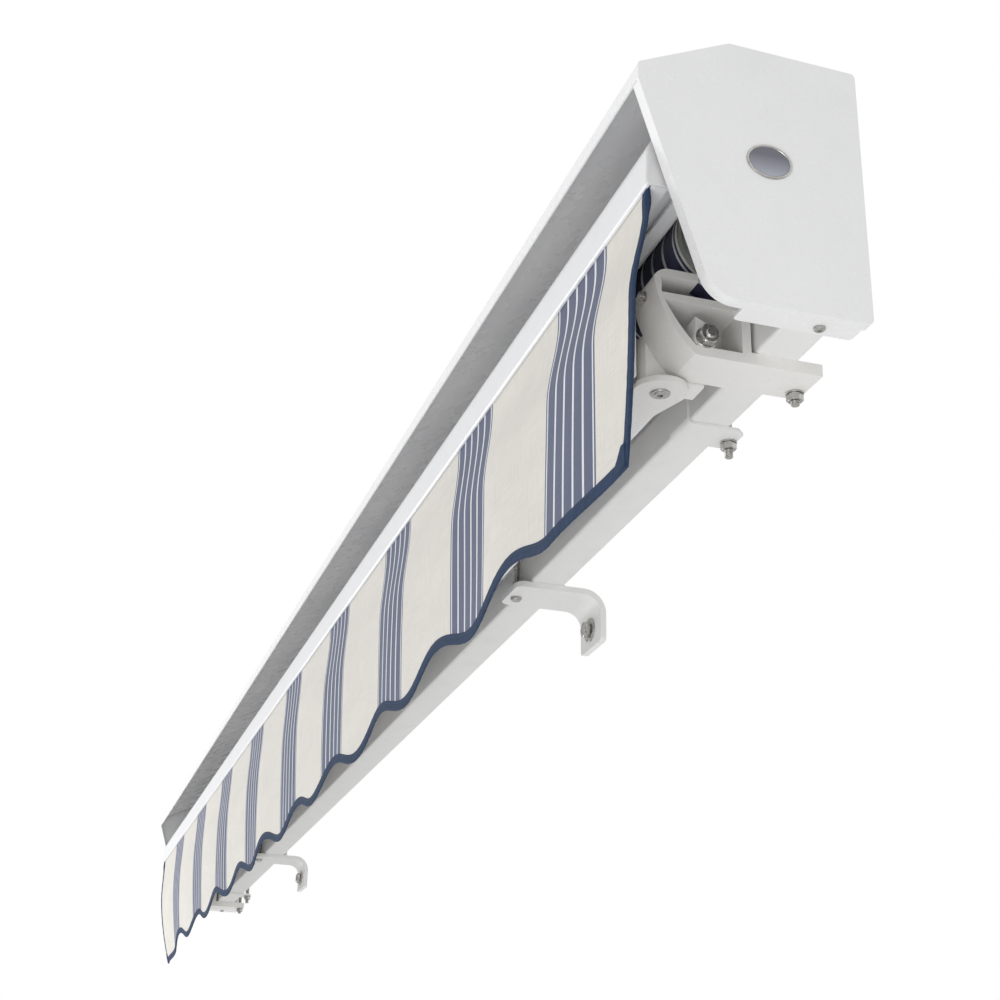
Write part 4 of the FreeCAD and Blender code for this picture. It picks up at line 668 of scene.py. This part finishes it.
def dress(look, names, rounding=0.0):
    """Gives CAD nodes their finish and, where they are cast or folded, softer edges."""
    for name in names:
        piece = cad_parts[name]
        if not piece.material_slots:
            piece.data.materials.append(finish(look))
        for holder in piece.material_slots:
            holder.link = "OBJECT"
            holder.material = finish(look)
        if rounding:
            soften(piece, rounding)


def both(*names):
    return [name + side for name in names for side in ("_right", "_left")]


def axis_frame(origin, direction):
    """Matrix that lays the local Z axis along a direction from an origin."""
    turn = Vector((0, 0, 1)).rotation_difference(Vector(direction)).to_matrix().to_4x4()
    return Matrix.Translation(origin) @ turn


# The valance's surface

# Where it hangs, from right to left: X, how far it comes forward and how far its hem goes back
SWING = ((1.50, 0.0130, 0.000), (1.26, 0.0100, 0.000), (0.94, 0.0060, 0.003),
         (0.00, 0.0025, 0.007), (-0.80, 0.0020, 0.011), (-1.20, 0.0015, 0.016),
         (-1.42, 0.0010, 0.024), (-1.50, 0.0010, 0.032))
# Drops below the rail where the swings begin, and over which they and the ripples grow
FORWARD_FROM, FORWARD_OVER = 0.010, 0.085
BACK_FROM, BACK_OVER, BACK_POWER = 0.06, 0.175, 1.8
RIPPLE_OVER = 0.20
# Ripples along it: height, rate along X, start, and how much they lean with the drop
RIPPLES = ((0.0016, 13.1, 0.6, 0), (0.0010, 29.3, 2.1, 5))
# How far the cloth and its tape reach up into the slot, and the tape's steps along the edge
IN_SLOT, TAPE_IN_SLOT = 0.003, 0.002
TAPE_STEP = 0.004


def clamped(share):
    return min(1.0, max(0.0, share))


def eased(share):
    """A share from 0 to 1 that starts and ends gently."""
    t = clamped(share)
    return t * t * (3 - 2 * t)


def cloth_depth(x, z):
    """Y of the hanging cloth: forward at the right-hand end, back at the left-hand hem."""
    drop = SLOT_Z - z
    place = min(max(x, SWING[-1][0]), SWING[0][0])
    for (x1, front1, back1), (x2, front2, back2) in zip(SWING, SWING[1:]):
        if x2 <= place:
            share = (x1 - place) / (x1 - x2)
            forward = front1 + (front2 - front1) * share
            back = back1 + (back2 - back1) * share
            break
    forward *= eased((drop - FORWARD_FROM) / FORWARD_OVER)
    back *= clamped((drop - BACK_FROM) / BACK_OVER) ** BACK_POWER
    ripple = sum(height * math.sin(x * rate + start + lean * drop)
                 for height, rate, start, lean in RIPPLES)
    return (KEDER_Y - forward + back) + ripple * eased(drop / RIPPLE_OVER)


def cloth_point(x, z, out):
    """Point of the valance; out is the distance in front of its middle."""
    step = 0.002
    slope_z = (cloth_depth(x, z + step) - cloth_depth(x, z - step)) / (2 * step)
    slope_x = (cloth_depth(x + step, z) - cloth_depth(x - step, z)) / (2 * step)
    normal = Vector((slope_x, -1.0, slope_z)).normalized()
    return Vector((x, cloth_depth(x, z), z)) + normal * out


def side_half(cloth, z):
    """Half width of the valance at a height."""
    share = max(0.0, (SLOT_Z - z) / cloth.corner_drop)
    lean = 4 * cloth.side_lean - cloth.corner_lean
    bow = 2 * (cloth.corner_lean - 2 * cloth.side_lean)
    return CLOTH_HALF - lean * share - bow * share * share


def lower_edge(cloth, x):
    """Height of the scalloped edge."""
    first = CLOTH_HALF - cloth.corner_lean - cloth.scallop_flat
    middle = SLOT_Z - cloth.middle_drop
    trough = middle - cloth.scallop_depth
    beyond = abs(x) - first
    if beyond > 0:
        share = min(1.0, beyond / cloth.scallop_flat)
        return trough + (SLOT_Z - cloth.corner_drop - trough) * share
    pitch = 2 * first / cloth.scallops
    return middle - cloth.scallop_depth * math.cos(TURN * (first - abs(x)) / pitch)


def valance_cloth(cloth, canvas):
    """The striped sheet, from inside the rail's slot down to its scallops."""
    columns, rows = 420, 44
    top = SLOT_Z + IN_SLOT
    inside_tape = 0.0015

    def point(i, j, face):
        across = 2 * i / columns - 1
        low = lower_edge(cloth, across * (CLOTH_HALF - cloth.corner_lean)) + inside_tape
        z = top + (low - top) * j / rows
        x = across * (side_half(cloth, z) - inside_tape)
        return cloth_point(x, z, face * cloth.cloth / 2), (x, z)

    shape = Shape()
    shape.add_cloth(columns, rows, point)
    return make_piece("valance_cloth", shape, "rail", canvas, ["valance"],
                      sharp=60.0)


def edge_path(cloth, step):
    """Flat (x, z) points down the right side, along the scallops and up the left side."""
    top = SLOT_Z + TAPE_IN_SLOT
    bottom = SLOT_Z - cloth.corner_drop
    half = CLOTH_HALF - cloth.corner_lean
    count = int((top - bottom) / step)
    heights = [top + (bottom - top) * i / count for i in range(count)]
    right = [(side_half(cloth, z), z) for z in heights]
    count = int(2 * half / step)
    across = [half - 2 * half * i / count for i in range(count + 1)]
    along = [(x, lower_edge(cloth, x)) for x in across]
    return right, along, [(-x, z) for x, z in reversed(right)]


def inward(path):
    """Unit directions into the cloth at each point of a flat path walked clockwise."""
    found = []
    for before, after in zip(path[:1] + path, path[1:] + path[-1:]):
        dx, dz = after[0] - before[0], after[1] - before[1]
        size = math.hypot(dx, dz)
        found.append((dz / size, -dx / size))
    return found


def tape_profile(cloth):
    """Folded tape as (into the cloth, off its middle) points, front leaf to back leaf."""
    w, t = cloth.tape, cloth.tape_rise
    front = [(w, t * 0.35), (w - 0.0004, t * 0.80), (w - 0.0012, t * 0.92), (w * 0.72, t * 0.86),
             (w * 0.40, t * 1.08), (w * 0.16, t * 1.18), (0.0004, t * 0.95), (-0.0007, t * 0.45)]
    return front + [(into, -off) for into, off in reversed(front)]


# The tape's waves, by share and by rates along it, and its tuck where it enters the rail
PUCKER, PUCKER_RATES = 0.12, (410, 67)
TUCK, TUCK_AT, TUCK_SPREAD = 0.9, 0.012, 0.008
MITRE_STRETCH = 1.35
RIB_WIDTH = 0.0025


def valance_tape(cloth):
    """Binding on both sides and the scallops, mitred and folded over at the lower corners."""
    profile = tape_profile(cloth)
    width = len(profile)
    right, along, left = edge_path(cloth, TAPE_STEP)
    path = right + along + left
    corners = (len(right), len(right) + len(along) - 1)
    rows, flat = [], []
    run = 0.0
    for i, ((x, z), (dx, dz)) in enumerate(zip(path, inward(path))):
        if i:
            run += math.hypot(x - path[i - 1][0], z - path[i - 1][1])
        mitre = MITRE_STRETCH if min(abs(i - corner) for corner in corners) <= 1 else 1.0
        from_top = min(i, len(path) - 1 - i) * TAPE_STEP
        tuck = TUCK * math.exp(-((from_top - TUCK_AT) / TUCK_SPREAD) ** 2)
        waves = PUCKER * math.sin(run * PUCKER_RATES[0]) * math.sin(run * PUCKER_RATES[1])
        pucker = 1.0 + waves + tuck
        rows.append([cloth_point(x + dx * into * mitre, z + dz * into * mitre, off * pucker)
                     for into, off in profile])
        flat.append([(run, k * RIB_WIDTH) for k in range(width)])
    shape = Shape()
    base = shape.add_grid(rows, flat)
    shape.add_cap(base, width)
    shape.add_cap(base + width * (len(rows) - 1), width, flip=True)
    for side in (1, -1):
        add_corner_fold(shape, cloth, side)
    return make_piece("valance_binding_tape", shape, "rail", finish("Navy tape"),
                      ["valance_binding"], sharp=50.0)


# The fold in tape widths from the corner: outline and middle; then its layers: rise and size
FOLD_OUTLINE = ((-0.04, 0.04), (-0.04, 1.95), (-0.92, 2.0), (-1.18, 1.72), (-1.72, 1.18),
                (-2.05, 0.92), (-2.0, 0.06))
FOLD_MIDDLE = (-0.5, 0.55)
FOLD_LAYERS = ((0.4, 1.0), (1.30, 1.0), (1.75, 0.93), (1.95, 0.70))


def add_corner_fold(shape, cloth, side):
    """The tucked flap of tape over a lower corner."""
    half = CLOTH_HALF - cloth.corner_lean
    bottom = SLOT_Z - cloth.corner_drop
    w = cloth.tape
    outline = [(w * across, w * up) for across, up in FOLD_OUTLINE]
    middle_x, middle_z = (w * share for share in FOLD_MIDDLE)
    rows = []
    for out, grow in FOLD_LAYERS:
        row = []
        for across, up in outline:
            x = half + (middle_x + (across - middle_x) * grow)
            z = bottom + middle_z + (up - middle_z) * grow
            row.append(cloth_point(side * x, z, out * cloth.tape_rise))
        rows.append(row[::side])
    shape.add_closed(rows, flat=[outline] * len(rows))


# The stitches: radius of the thread, distance from the tape's inner edge, the share of its
# rise on which they lie, and length as a share of their spacing; then one stitch's ridge as
# (along, height, width) and what is added to its heights, in radii
THREAD_RADIUS = 0.00028
STITCH_INSET = 0.0026
STITCH_RISE = 0.90
STITCH_LENGTH = 0.62
STITCH_RIDGE = ((-0.5, -0.2, 0.3), (-0.25, 0.8, 1.0), (0.25, 0.8, 1.0), (0.5, -0.2, 0.3))
STITCH_LIFT = 0.1


def add_stitch(shape, cloth, x, z, heading, out):
    """One stitch: a low ridge that dips into the cloth at both ends."""
    size = cloth.stitch * STITCH_LENGTH
    lift = math.copysign(THREAD_RADIUS, out)
    rows = []
    for along, height, width in STITCH_RIDGE:
        row = []
        for across, rise in ((-1, 0.0), (0, 1.0), (1, 0.0)):
            forward, aside = along * size, across * width * THREAD_RADIUS
            row.append(cloth_point(x + math.cos(heading) * forward - math.sin(heading) * aside,
                                   z + math.sin(heading) * forward + math.cos(heading) * aside,
                                   out + lift * (height * rise + STITCH_LIFT)))
        rows.append(row)
    shape.add_grid(rows)


def valance_stitches(cloth):
    """Lockstitch along the tape, on both faces."""
    shape = Shape()
    path = [point for part in edge_path(cloth, 2 * TAPE_STEP) for point in part]
    directions = inward(path)
    inset = cloth.tape - STITCH_INSET
    for face in (1, -1):
        run, wanted = 0.0, 0.0
        for (x1, z1), (x2, z2), (dx, dz) in zip(path, path[1:], directions[1:]):
            step = math.hypot(x2 - x1, z2 - z1)
            while wanted <= run + step:
                share = (wanted - run) / step
                add_stitch(shape, cloth, x1 + share * (x2 - x1) + dx * inset,
                           z1 + share * (z2 - z1) + dz * inset, math.atan2(-dx, dz),
                           face * cloth.tape_rise * STITCH_RISE)
                wanted += cloth.stitch
            run += step
    return make_piece("valance_stitching", shape, "rail", finish("Navy thread"),
                      sharp=80.0)


# Operators, one for each group of pieces

class AWNING_OT_bar(bpy.types.Operator):
    """Paint the torsion bar, the wall brackets, their straps and the hood's saddles"""
    bl_idname = "awning.bar"
    bl_label = "Bar and brackets"

    def execute(self, context):
        dress("White powder coat", ["torsion_bar"])
        dress("White powder coat", both("wall_bracket"), rounding=0.8 * MM)
        dress("White powder coat", ["bracket_straps", "saddle_plates", "hood_supports"],
              rounding=0.4 * MM)
        return {"FINISHED"}


class AWNING_OT_hood(bpy.types.Operator):
    """Paint the folded hood and its end caps, and set the bare oval badge"""
    bl_idname = "awning.hood"
    bl_label = "Hood and caps"

    def execute(self, context):
        dress("Hood paint", ["hood_cover"])
        dress("Hood paint", both("hood_end_cap"), rounding=0.5 * MM)
        self.badge()
        return {"FINISHED"}

    def badge(self):
        """Domed oval with a polished rim, a groove and a brushed bare face."""
        centre = (BADGE_LOW + BADGE_HIGH) / 2
        half_y = (BADGE_HIGH.y - BADGE_LOW.y) / 2
        half_z = (BADGE_HIGH.z - BADGE_LOW.z) / 2
        rise = BADGE_HIGH.x - BADGE_LOW.x
        circle = ring(1.0, 0.0, 96)

        def ovals(*profile):
            """A form from its ovals: millimetres inside the edge, and share of the rise."""
            shape = Shape()
            shape.add_grid([[(BADGE_LOW.x + height * rise,
                              centre.y + (half_y - inset * MM) * across,
                              centre.z + (half_z - inset * MM) * up) for across, up, _ in circle]
                            for inset, height in profile], around=True)
            return shape

        rim = ovals((0.0, 0.0), (0.0, 0.45), (0.25, 0.8), (0.8, 1.0), (1.5, 0.98), (2.0, 0.78),
                    (2.3, 0.5))
        face = ovals((2.2, 0.45), (2.4, 0.62), (3.2, 0.70), (7.0, 0.82), (11.5, 0.88),
                     (15.2, 0.90))
        face.add_cap(len(face.points) - len(circle), len(circle))
        make_piece("badge_rim", rim, "frame", finish("Polished rim"),
                   ["cap_badge"])
        make_piece("badge_face", face, "frame", finish("Brushed badge"))


class AWNING_OT_castings(bpy.types.Operator):
    """Paint the shoulder castings and the pitch blocks"""
    bl_idname = "awning.castings"
    bl_label = "Shoulder castings"

    def execute(self, context):
        dress("Painted casting", both("shoulder_casting"), rounding=2.0 * MM)
        dress("Painted casting", both("pitch_block"), rounding=0.8 * MM)
        return {"FINISHED"}


class AWNING_OT_arms(bpy.types.Operator):
    """Paint the folding arms and finish their pins and springs"""
    bl_idname = "awning.arms"
    bl_label = "Folding arms"

    def execute(self, context):
        dress("Extrusion paint", both("rear_arm_tube", "forearm_tube"))
        dress("Painted casting", both("shoulder_fork", "elbow_fork", "elbow_tongue", "wrist_eye"),
              rounding=0.7 * MM)
        dress("Stainless steel", both("elbow_pin"), rounding=0.4 * MM)
        dress("Zinc plate", both("arm_spring"))
        return {"FINISHED"}


class AWNING_OT_rail(bpy.types.Operator):
    """Paint the front rail, its end caps and the mounts that hold the wrists"""
    bl_idname = "awning.rail"
    bl_label = "Front rail"

    def execute(self, context):
        dress("Extrusion paint", ["front_rail"])
        dress("Moulded cap", ["rail_end_caps"], rounding=0.6 * MM)
        dress("Painted casting", both("rail_mount"), rounding=0.7 * MM)
        dress("Stainless steel", ["wrist_pins"], rounding=0.4 * MM)
        dress("Keder", ["keder_rods"])
        return {"FINISHED"}


class AWNING_OT_valance(bpy.types.Operator):
    """Hang the striped valance with its binding and stitches"""
    bl_idname = "awning.valance"
    bl_label = "Valance"

    def execute(self, context):
        colours = context.scene.awning_colours
        cloth = context.scene.awning_cloth
        canvas = material("Striped canvas", striped_canvas, cloth, cloth.stripe_centre,
                          colours.cream, colours.stripe, colours.pinstripe)
        sheet = valance_cloth(cloth, canvas)
        tape = valance_tape(cloth)
        stitches = valance_stitches(cloth)
        return {"FINISHED"}

    def flat_area(self, cloth):
        """Area of the cut cloth, summed in narrow upright strips."""
        strips = 600
        total = 0.0
        half = CLOTH_HALF - cloth.corner_lean / 2
        for i in range(strips):
            x = half * (2 * (i + 0.5) / strips - 1)
            total += (SLOT_Z + IN_SLOT - lower_edge(cloth, x)) * 2 * half / strips
        return total


class AWNING_OT_roll(bpy.types.Operator):
    """Wind the canopy on its roller and lead its edge to the rail"""
    bl_idname = "awning.roll"
    bl_label = "Roller and canopy"

    def execute(self, context):
        colours = context.scene.awning_colours
        cloth = context.scene.awning_cloth
        # The wound canvas is a shaded copy of the valance's: its darker stripes and its pinstripes
        # at 0.95 are painted shade.
        wound = material("Wound canvas", striped_canvas, cloth, cloth.roll_centre,
                         colours.cream, colours.roll_stripe_painted_shade, toned(colours.pinstripe, 0.95))
        self.wind(cloth, wound)
        self.lead(cloth, wound)
        # The end plates' dark grey-olive carries painted shade from inside the hood.
        dress("End plate", ["roller_end_plates", "drive_wheel", "idler_plug", "motor_crown"],
              rounding=0.3 * MM)
        dress("Zinc plate", ["roller_tube", "motor_plate", "idler_plate", "bearing_screws"])
        dress("Motor case", ["roller_motor"], rounding=0.5 * MM)
        return {"FINISHED"}

    def wind(self, cloth, canvas):
        """Spiral of cloth whose edges wander a little from turn to turn."""
        clearance = 0.0003
        layer_middle, layer_half = 0.45, 0.42
        axis_y = (TUBE_LOW.y + TUBE_HIGH.y) / 2
        axis_z = (TUBE_LOW.z + TUBE_HIGH.z) / 2
        inner = (TUBE_HIGH.z - TUBE_LOW.z) / 2 + clearance
        outer = (ROLL_HIGH.z - ROLL_LOW.z) / 2
        turns = int((outer - inner) / cloth.layer)
        segments = 72
        stations = (-1.0, -0.999, -0.75, -0.5, -0.25, 0.0, 0.25, 0.5, 0.75, 0.999, 1.0)
        wander = random.Random(7)
        slips = [wander.uniform(-0.0006, 0.0002) for _ in range(turns + 2)]

        def point(i, j, face):
            turn = TURN * j / segments
            share = j / segments
            slip, following = slips[int(share)], slips[int(share) + 1]
            slip += (share % 1.0) * (following - slip)
            middle = inner + cloth.layer * share
            r = middle + cloth.layer * (layer_middle + layer_half * face)
            x = stations[i] * (ROLL_HIGH.x - clearance + slip)
            return (x, axis_y + r * math.cos(turn), axis_z + r * math.sin(turn)), (x, turn * middle)

        shape = Shape()
        shape.add_cloth(len(stations) - 1, turns * segments, point, facing=-1)
        make_piece("canopy_roll", shape, "roller", canvas, ["cloth_roll"],
                   sharp=50.0)

    def lead(self, cloth, canvas):
        """The canopy's front edge, from the rail's rear slot up towards the roll."""
        half = HEM_HIGH.x
        depth = HEM_HIGH.y - HEM_LOW.y
        height = HEM_HIGH.z - HEM_LOW.z
        front, back, inset = 0.0004, 0.0008, 0.0008
        sag_height, sag_rate = 0.0010, 17
        layer_half, flat_depth = 0.4, 0.05
        columns = 160
        path = ((0.0, 0.0), (0.25, 0.06), (0.5, 0.30), (0.75, 0.64), (1.0, 1.0))

        def point(i, j, face):
            along, rise = path[j]
            x = half * (2 * i / columns - 1)
            sag = sag_height * math.sin(x * sag_rate) * math.sin(math.pi * along)
            y = HEM_LOW.y + front + (depth - front - back) * along
            z = HEM_LOW.z + inset + (height - 2 * inset) * rise + sag
            return (x, y, z + face * cloth.cloth * layer_half), (x, along * flat_depth)

        shape = Shape()
        shape.add_cloth(columns, len(path) - 1, point, facing=-1)
        piece = make_piece("canopy_edge", shape, "rail", canvas, ["canopy_hem"],
                           sharp=60.0)


# M8 bolts: thread, hexagon across its flats, heights of head and nut; then a washer's
# thickness, and the angle in degrees from which an edge of a bolt stays sharp
M8_RADIUS, M8_PITCH, M8_ACROSS = 4.0 * MM, 1.25 * MM, 13 * MM
M8_HEAD, M8_NUT = 5.3 * MM, 6.5 * MM
WASHER = 1.5 * MM
BOLT_SHARP = 25.0


def washer(shape, place, radius, low, high):
    edge = 0.3 * MM
    shape.add_lathe([(radius - edge, low), (radius, low + edge), (radius, high - edge),
                     (radius - edge, high)], place, 40)


def washer_and_nut(shape, place, low):
    """M8 washer with its nut on top, from a height up."""
    face = low + WASHER
    washer(shape, place, 8.0 * MM, low, face)
    shape.add_hex(M8_ACROSS, face, face + M8_NUT, place)


def hex_bolt(shape, place, end):
    """M8 bolt with its head at the origin and its thread up to the end."""
    shape.add_hex(M8_ACROSS, 0, M8_HEAD, place)
    shape.add_thread(M8_RADIUS, M8_HEAD, end, M8_PITCH, place)


def turned(shape, place, profile, segments=32):
    """A lathe form whose profile is given in millimetres."""
    shape.add_lathe([(radius * MM, z * MM) for radius, z in profile], place, segments)


def bolt_frame(low, high, axis, start):
    """Frame in the middle of a bolt's box, from its start along the axis, and its length."""
    middle = [(a + b) / 2 for a, b in zip(low, high)]
    index = [abs(part) for part in axis].index(1)
    middle[index] = start[index]
    return axis_frame(middle, axis), abs(high[index] - low[index])


def bracket_bolt(shape, low, high):
    """Domed head below the plate, nut and washer above the strap."""
    place, end = bolt_frame(low, high, (0, 0, 1), low)
    turned(shape, place, ((2.2, 0.4), (4.2, 0.1), (5.6, 1.0), (6.4, 2.6), (6.5, 4.2), (6.2, 4.5)))
    shape.add_thread(M8_RADIUS, 4.5 * MM, end, M8_PITCH, place)
    washer_and_nut(shape, place, end - 10 * MM)


def hung_bolt(free):
    """Builder of a bolt with its head at the top; free is the length from its washer down."""
    def build(shape, low, high):
        place, end = bolt_frame(low, high, (0, 0, -1), high)
        hex_bolt(shape, place, end)
        washer_and_nut(shape, place, end - free)
    return build


def pivot_bolt(shape, low, high):
    """M10 bolt along X with its nut on the casting's outer face."""
    outwards = 1 if low.x > 0 else -1
    place, end = bolt_frame(low, high, (outwards, 0, 0), low if outwards > 0 else high)
    face = end - 12.5 * MM
    turned(shape, place, ((7.2, 0), (7.5, 0.4), (7.5, 6), (5, 6)))
    shape.add_lathe([(5 * MM, 6 * MM), (5 * MM, face), (4.8 * MM, face)], place)
    shape.add_thread(5 * MM, face, end, 1.5 * MM, place, 32)
    washer(shape, place, 9.5 * MM, face, face + WASHER)
    shape.add_hex(16 * MM, face + WASHER, face + 9.5 * MM, place)


def pitch_screw(shape, low, high):
    """Screw through the casting's front wall, its head against the block's peg."""
    place, end = bolt_frame(low, high, (0, -1, 0), high)
    hex_bolt(shape, place, end)


def shoulder_pin(shape, low, high):
    """Headed pin; below, a washer and a countersunk screw with a hexagon socket."""
    place, end = bolt_frame(low, high, (0, 0, 1), low)
    top = end / MM
    turned(shape, place, ((6.5, 2.7), (6.5, top - 3)))
    turned(shape, place, ((9.2, top - 3), (9.5, top - 2.6), (9.5, top - 0.6), (8.9, top)))
    turned(shape, place, ((8.4, 1.2), (8.75, 1.6), (8.75, 2.7)), 40)
    segments = 48
    socket = hexagon(5 * MM)
    rings = [ring(radius * MM, z * MM, segments)
             for radius, z in ((6.0, 1.25), (5.9, 1.0), (4.6, 0.1), (3.6, 0.0))]
    rings += [ring(socket, z * MM, segments) for z in (0.1, 1.9)]
    shape.add_grid([points[::-1] for points in rings], around=True, matrix=place)
    shape.add_cap(len(shape.points) - segments, segments)


def cap_screw(shape, low, high):
    """Pan-head screw under the end cap's flange."""
    place, end = bolt_frame(low, high, (0, 0, 1), low)
    turned(shape, place, ((1.6, 1.5), (1.9, 0.25), (3.6, 0.1), (4.7, 1.0), (5.0, 2.2), (5.0, 3.2)),
           40)
    shape.add_thread(2.4 * MM, 3.2 * MM, end, 0.9 * MM, place, 16)


class AWNING_OT_fasteners(bpy.types.Operator):
    """Fit the nuts, bolts, washers and screws"""
    bl_idname = "awning.fasteners"
    bl_label = "Fasteners"

    def execute(self, context):
        for node, build in (("bracket_bolts", bracket_bolt), ("saddle_bolts", hung_bolt(16 * MM)),
                            ("casting_clamp_bolts", hung_bolt(12 * MM)),
                            ("pitch_pivot_bolts", pivot_bolt), ("cap_screws", cap_screw)):
            self.make(node, "frame", build, (1, -1))
        self.wall_bolts()
        for side, word in ((1, "_right"), (-1, "_left")):
            self.make("pitch_screw" + word, "screw" + word, pitch_screw, (side,))
            self.make("shoulder_pin" + word, "rear_arm" + word, shoulder_pin, (side,))
        return {"FINISHED"}

    def make(self, node, body, build, sides):
        """Replaces a node by its detailed bolts; sides are 1 for the right and -1 for the left."""
        shape = Shape()
        for side in sides:
            found = [v.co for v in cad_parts[node].data.vertices if v.co.x * side > 0]
            build(shape, Vector([min(p[i] for p in found) for i in range(3)]),
                  Vector([max(p[i] for p in found) for i in range(3)]))
        make_piece(node + "_steel", shape, body, finish("Stainless steel"), [node],
                   sharp=BOLT_SHARP)

    def wall_bolts(self):
        """Washer and hexagon head in each bracket's slot, the shank cut off at the wall."""
        shape = Shape()
        for name in both("wall_bracket"):
            low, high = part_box(name)
            place = axis_frame(((low.x + high.x) / 2, high.y, 0), (0, -1, 0))
            turned(shape, place, ((4.6, 0.2), (4.8, 0.4), (4.8, 8)))
            washer(shape, place, 14 * MM, 7 * MM, 9.5 * MM)
            shape.add_hex(17 * MM, 9.5 * MM, 16.5 * MM, place)
        make_piece("wall_bolts", shape, "frame", finish("Stainless steel"),
                   sharp=BOLT_SHARP)


class AWNING_OT_stage(bpy.types.Operator):
    """Set the camera, the pale floor and the soft light"""
    bl_idname = "awning.stage"
    bl_label = "Stage"

    def execute(self, context):
        scene = context.scene
        stage = scene.awning_stage
        scene.view_settings.view_transform = "Standard"
        self.camera(scene, stage)
        self.floor(stage.floor_drop)
        self.sky(scene, stage.sky)
        self.lamp("Front lamp", (-4.0, -3.2, -1.0), (-1.3, -0.2, 0.1), 3.2, stage.front)
        self.lamp("Low lamp", (2.6, -1.5, -2.2), (0.0, -0.15, 0.1), 2.4, stage.low)
        return {"FINISHED"}

    def camera(self, scene, stage):
        """The photograph's standpoint: low, beyond the right-hand end, looking up along it."""
        data = bpy.data.cameras.new("Camera")
        data.sensor_width = 36.0
        data.lens = stage.lens
        data.clip_start, data.clip_end = 0.05, 60.0
        camera = add_object("Camera", data)
        right = Vector((0.3048, 0.9522, 0.0172)).normalized()
        up = Vector((0.3700, -0.1351, 0.9191)).normalized()
        back = right.cross(up).normalized()
        up = back.cross(right)
        turn = Matrix((right, up, back)).transposed().to_4x4()
        camera.matrix_world = Matrix.Translation(stage.camera_place) @ turn
        scene.camera = camera

    def floor(self, drop):
        """Pale floor below the awning."""
        size = 60.0
        corners = ((-size, -size), (size, -size), (size, size), (-size, size))
        mesh = bpy.data.meshes.new("floor")
        mesh.from_pydata([(x, y, -drop) for x, y in corners], [], [(0, 1, 2, 3)])
        mesh.materials.append(material("Pale floor", pale_floor))
        add_object("floor", mesh)

    def sky(self, scene, strength):
        """Even light from all round; the camera, glass and gloss see plain white."""
        world = bpy.data.worlds.new("Studio")
        scene.world = world
        world.use_nodes = True
        g = Graph(world.node_tree)
        background = world.node_tree.nodes["Background"]
        background.inputs["Color"].default_value = WHITE
        rays = g.add("ShaderNodeLightPath").outputs
        seen = g.math("MAXIMUM", rays["Is Camera Ray"], rays["Is Glossy Ray"])
        seen = g.math("MAXIMUM", seen, rays["Is Transmission Ray"])
        g.feed(background.inputs["Strength"], g.remap(seen, 0.0, 1.0, strength, 1.0))

    def lamp(self, name, place, target, size, energy):
        """Square soft box at a place, turned to its target."""
        data = bpy.data.lights.new(name, "AREA")
        data.shape = "SQUARE"
        data.size = size
        data.energy = energy
        lamp = add_object(name, data)
        lamp.location = place
        lamp.rotation_mode = "QUATERNION"
        lamp.rotation_quaternion = (Vector(place) - Vector(target)).to_track_quat("Z", "Y")


STEPS = (AWNING_OT_bar, AWNING_OT_hood, AWNING_OT_castings, AWNING_OT_arms, AWNING_OT_rail,
         AWNING_OT_valance, AWNING_OT_roll, AWNING_OT_fasteners, AWNING_OT_stage)
SETTINGS = {"awning_colours": AwningColours, "awning_cloth": AwningCloth,
            "awning_stage": AwningStage}


class AWNING_PT_panel(bpy.types.Panel):
    """Every step of the awning, in order"""
    bl_idname = "AWNING_PT_panel"
    bl_label = "Retractable awning"
    bl_space_type = "VIEW_3D"
    bl_region_type = "UI"
    bl_category = "Awning"

    def draw(self, context):
        for step in STEPS:
            self.layout.operator(step.bl_idname)
        for name in SETTINGS:
            group = getattr(context.scene, name)
            box = self.layout.box()
            for key in group.bl_rna.properties.keys():
                if key not in ("rna_type", "name"):
                    box.prop(group, key)


CLASSES = (*SETTINGS.values(), *STEPS, AWNING_PT_panel)


def register():
    for kind in CLASSES:
        bpy.utils.register_class(kind)
    for name, kind in SETTINGS.items():
        setattr(bpy.types.Scene, name, bpy.props.PointerProperty(type=kind))


def unregister():
    for name in SETTINGS:
        delattr(bpy.types.Scene, name)
    for kind in reversed(CLASSES):
        bpy.utils.unregister_class(kind)


def main():
    register()
    bpy.ops.awning.bar()
    bpy.ops.awning.hood()
    bpy.ops.awning.castings()
    bpy.ops.awning.arms()
    bpy.ops.awning.rail()
    bpy.ops.awning.valance()
    bpy.ops.awning.roll()
    bpy.ops.awning.fasteners()
    bpy.ops.awning.stage()


if __name__ == "__main__":
    main()
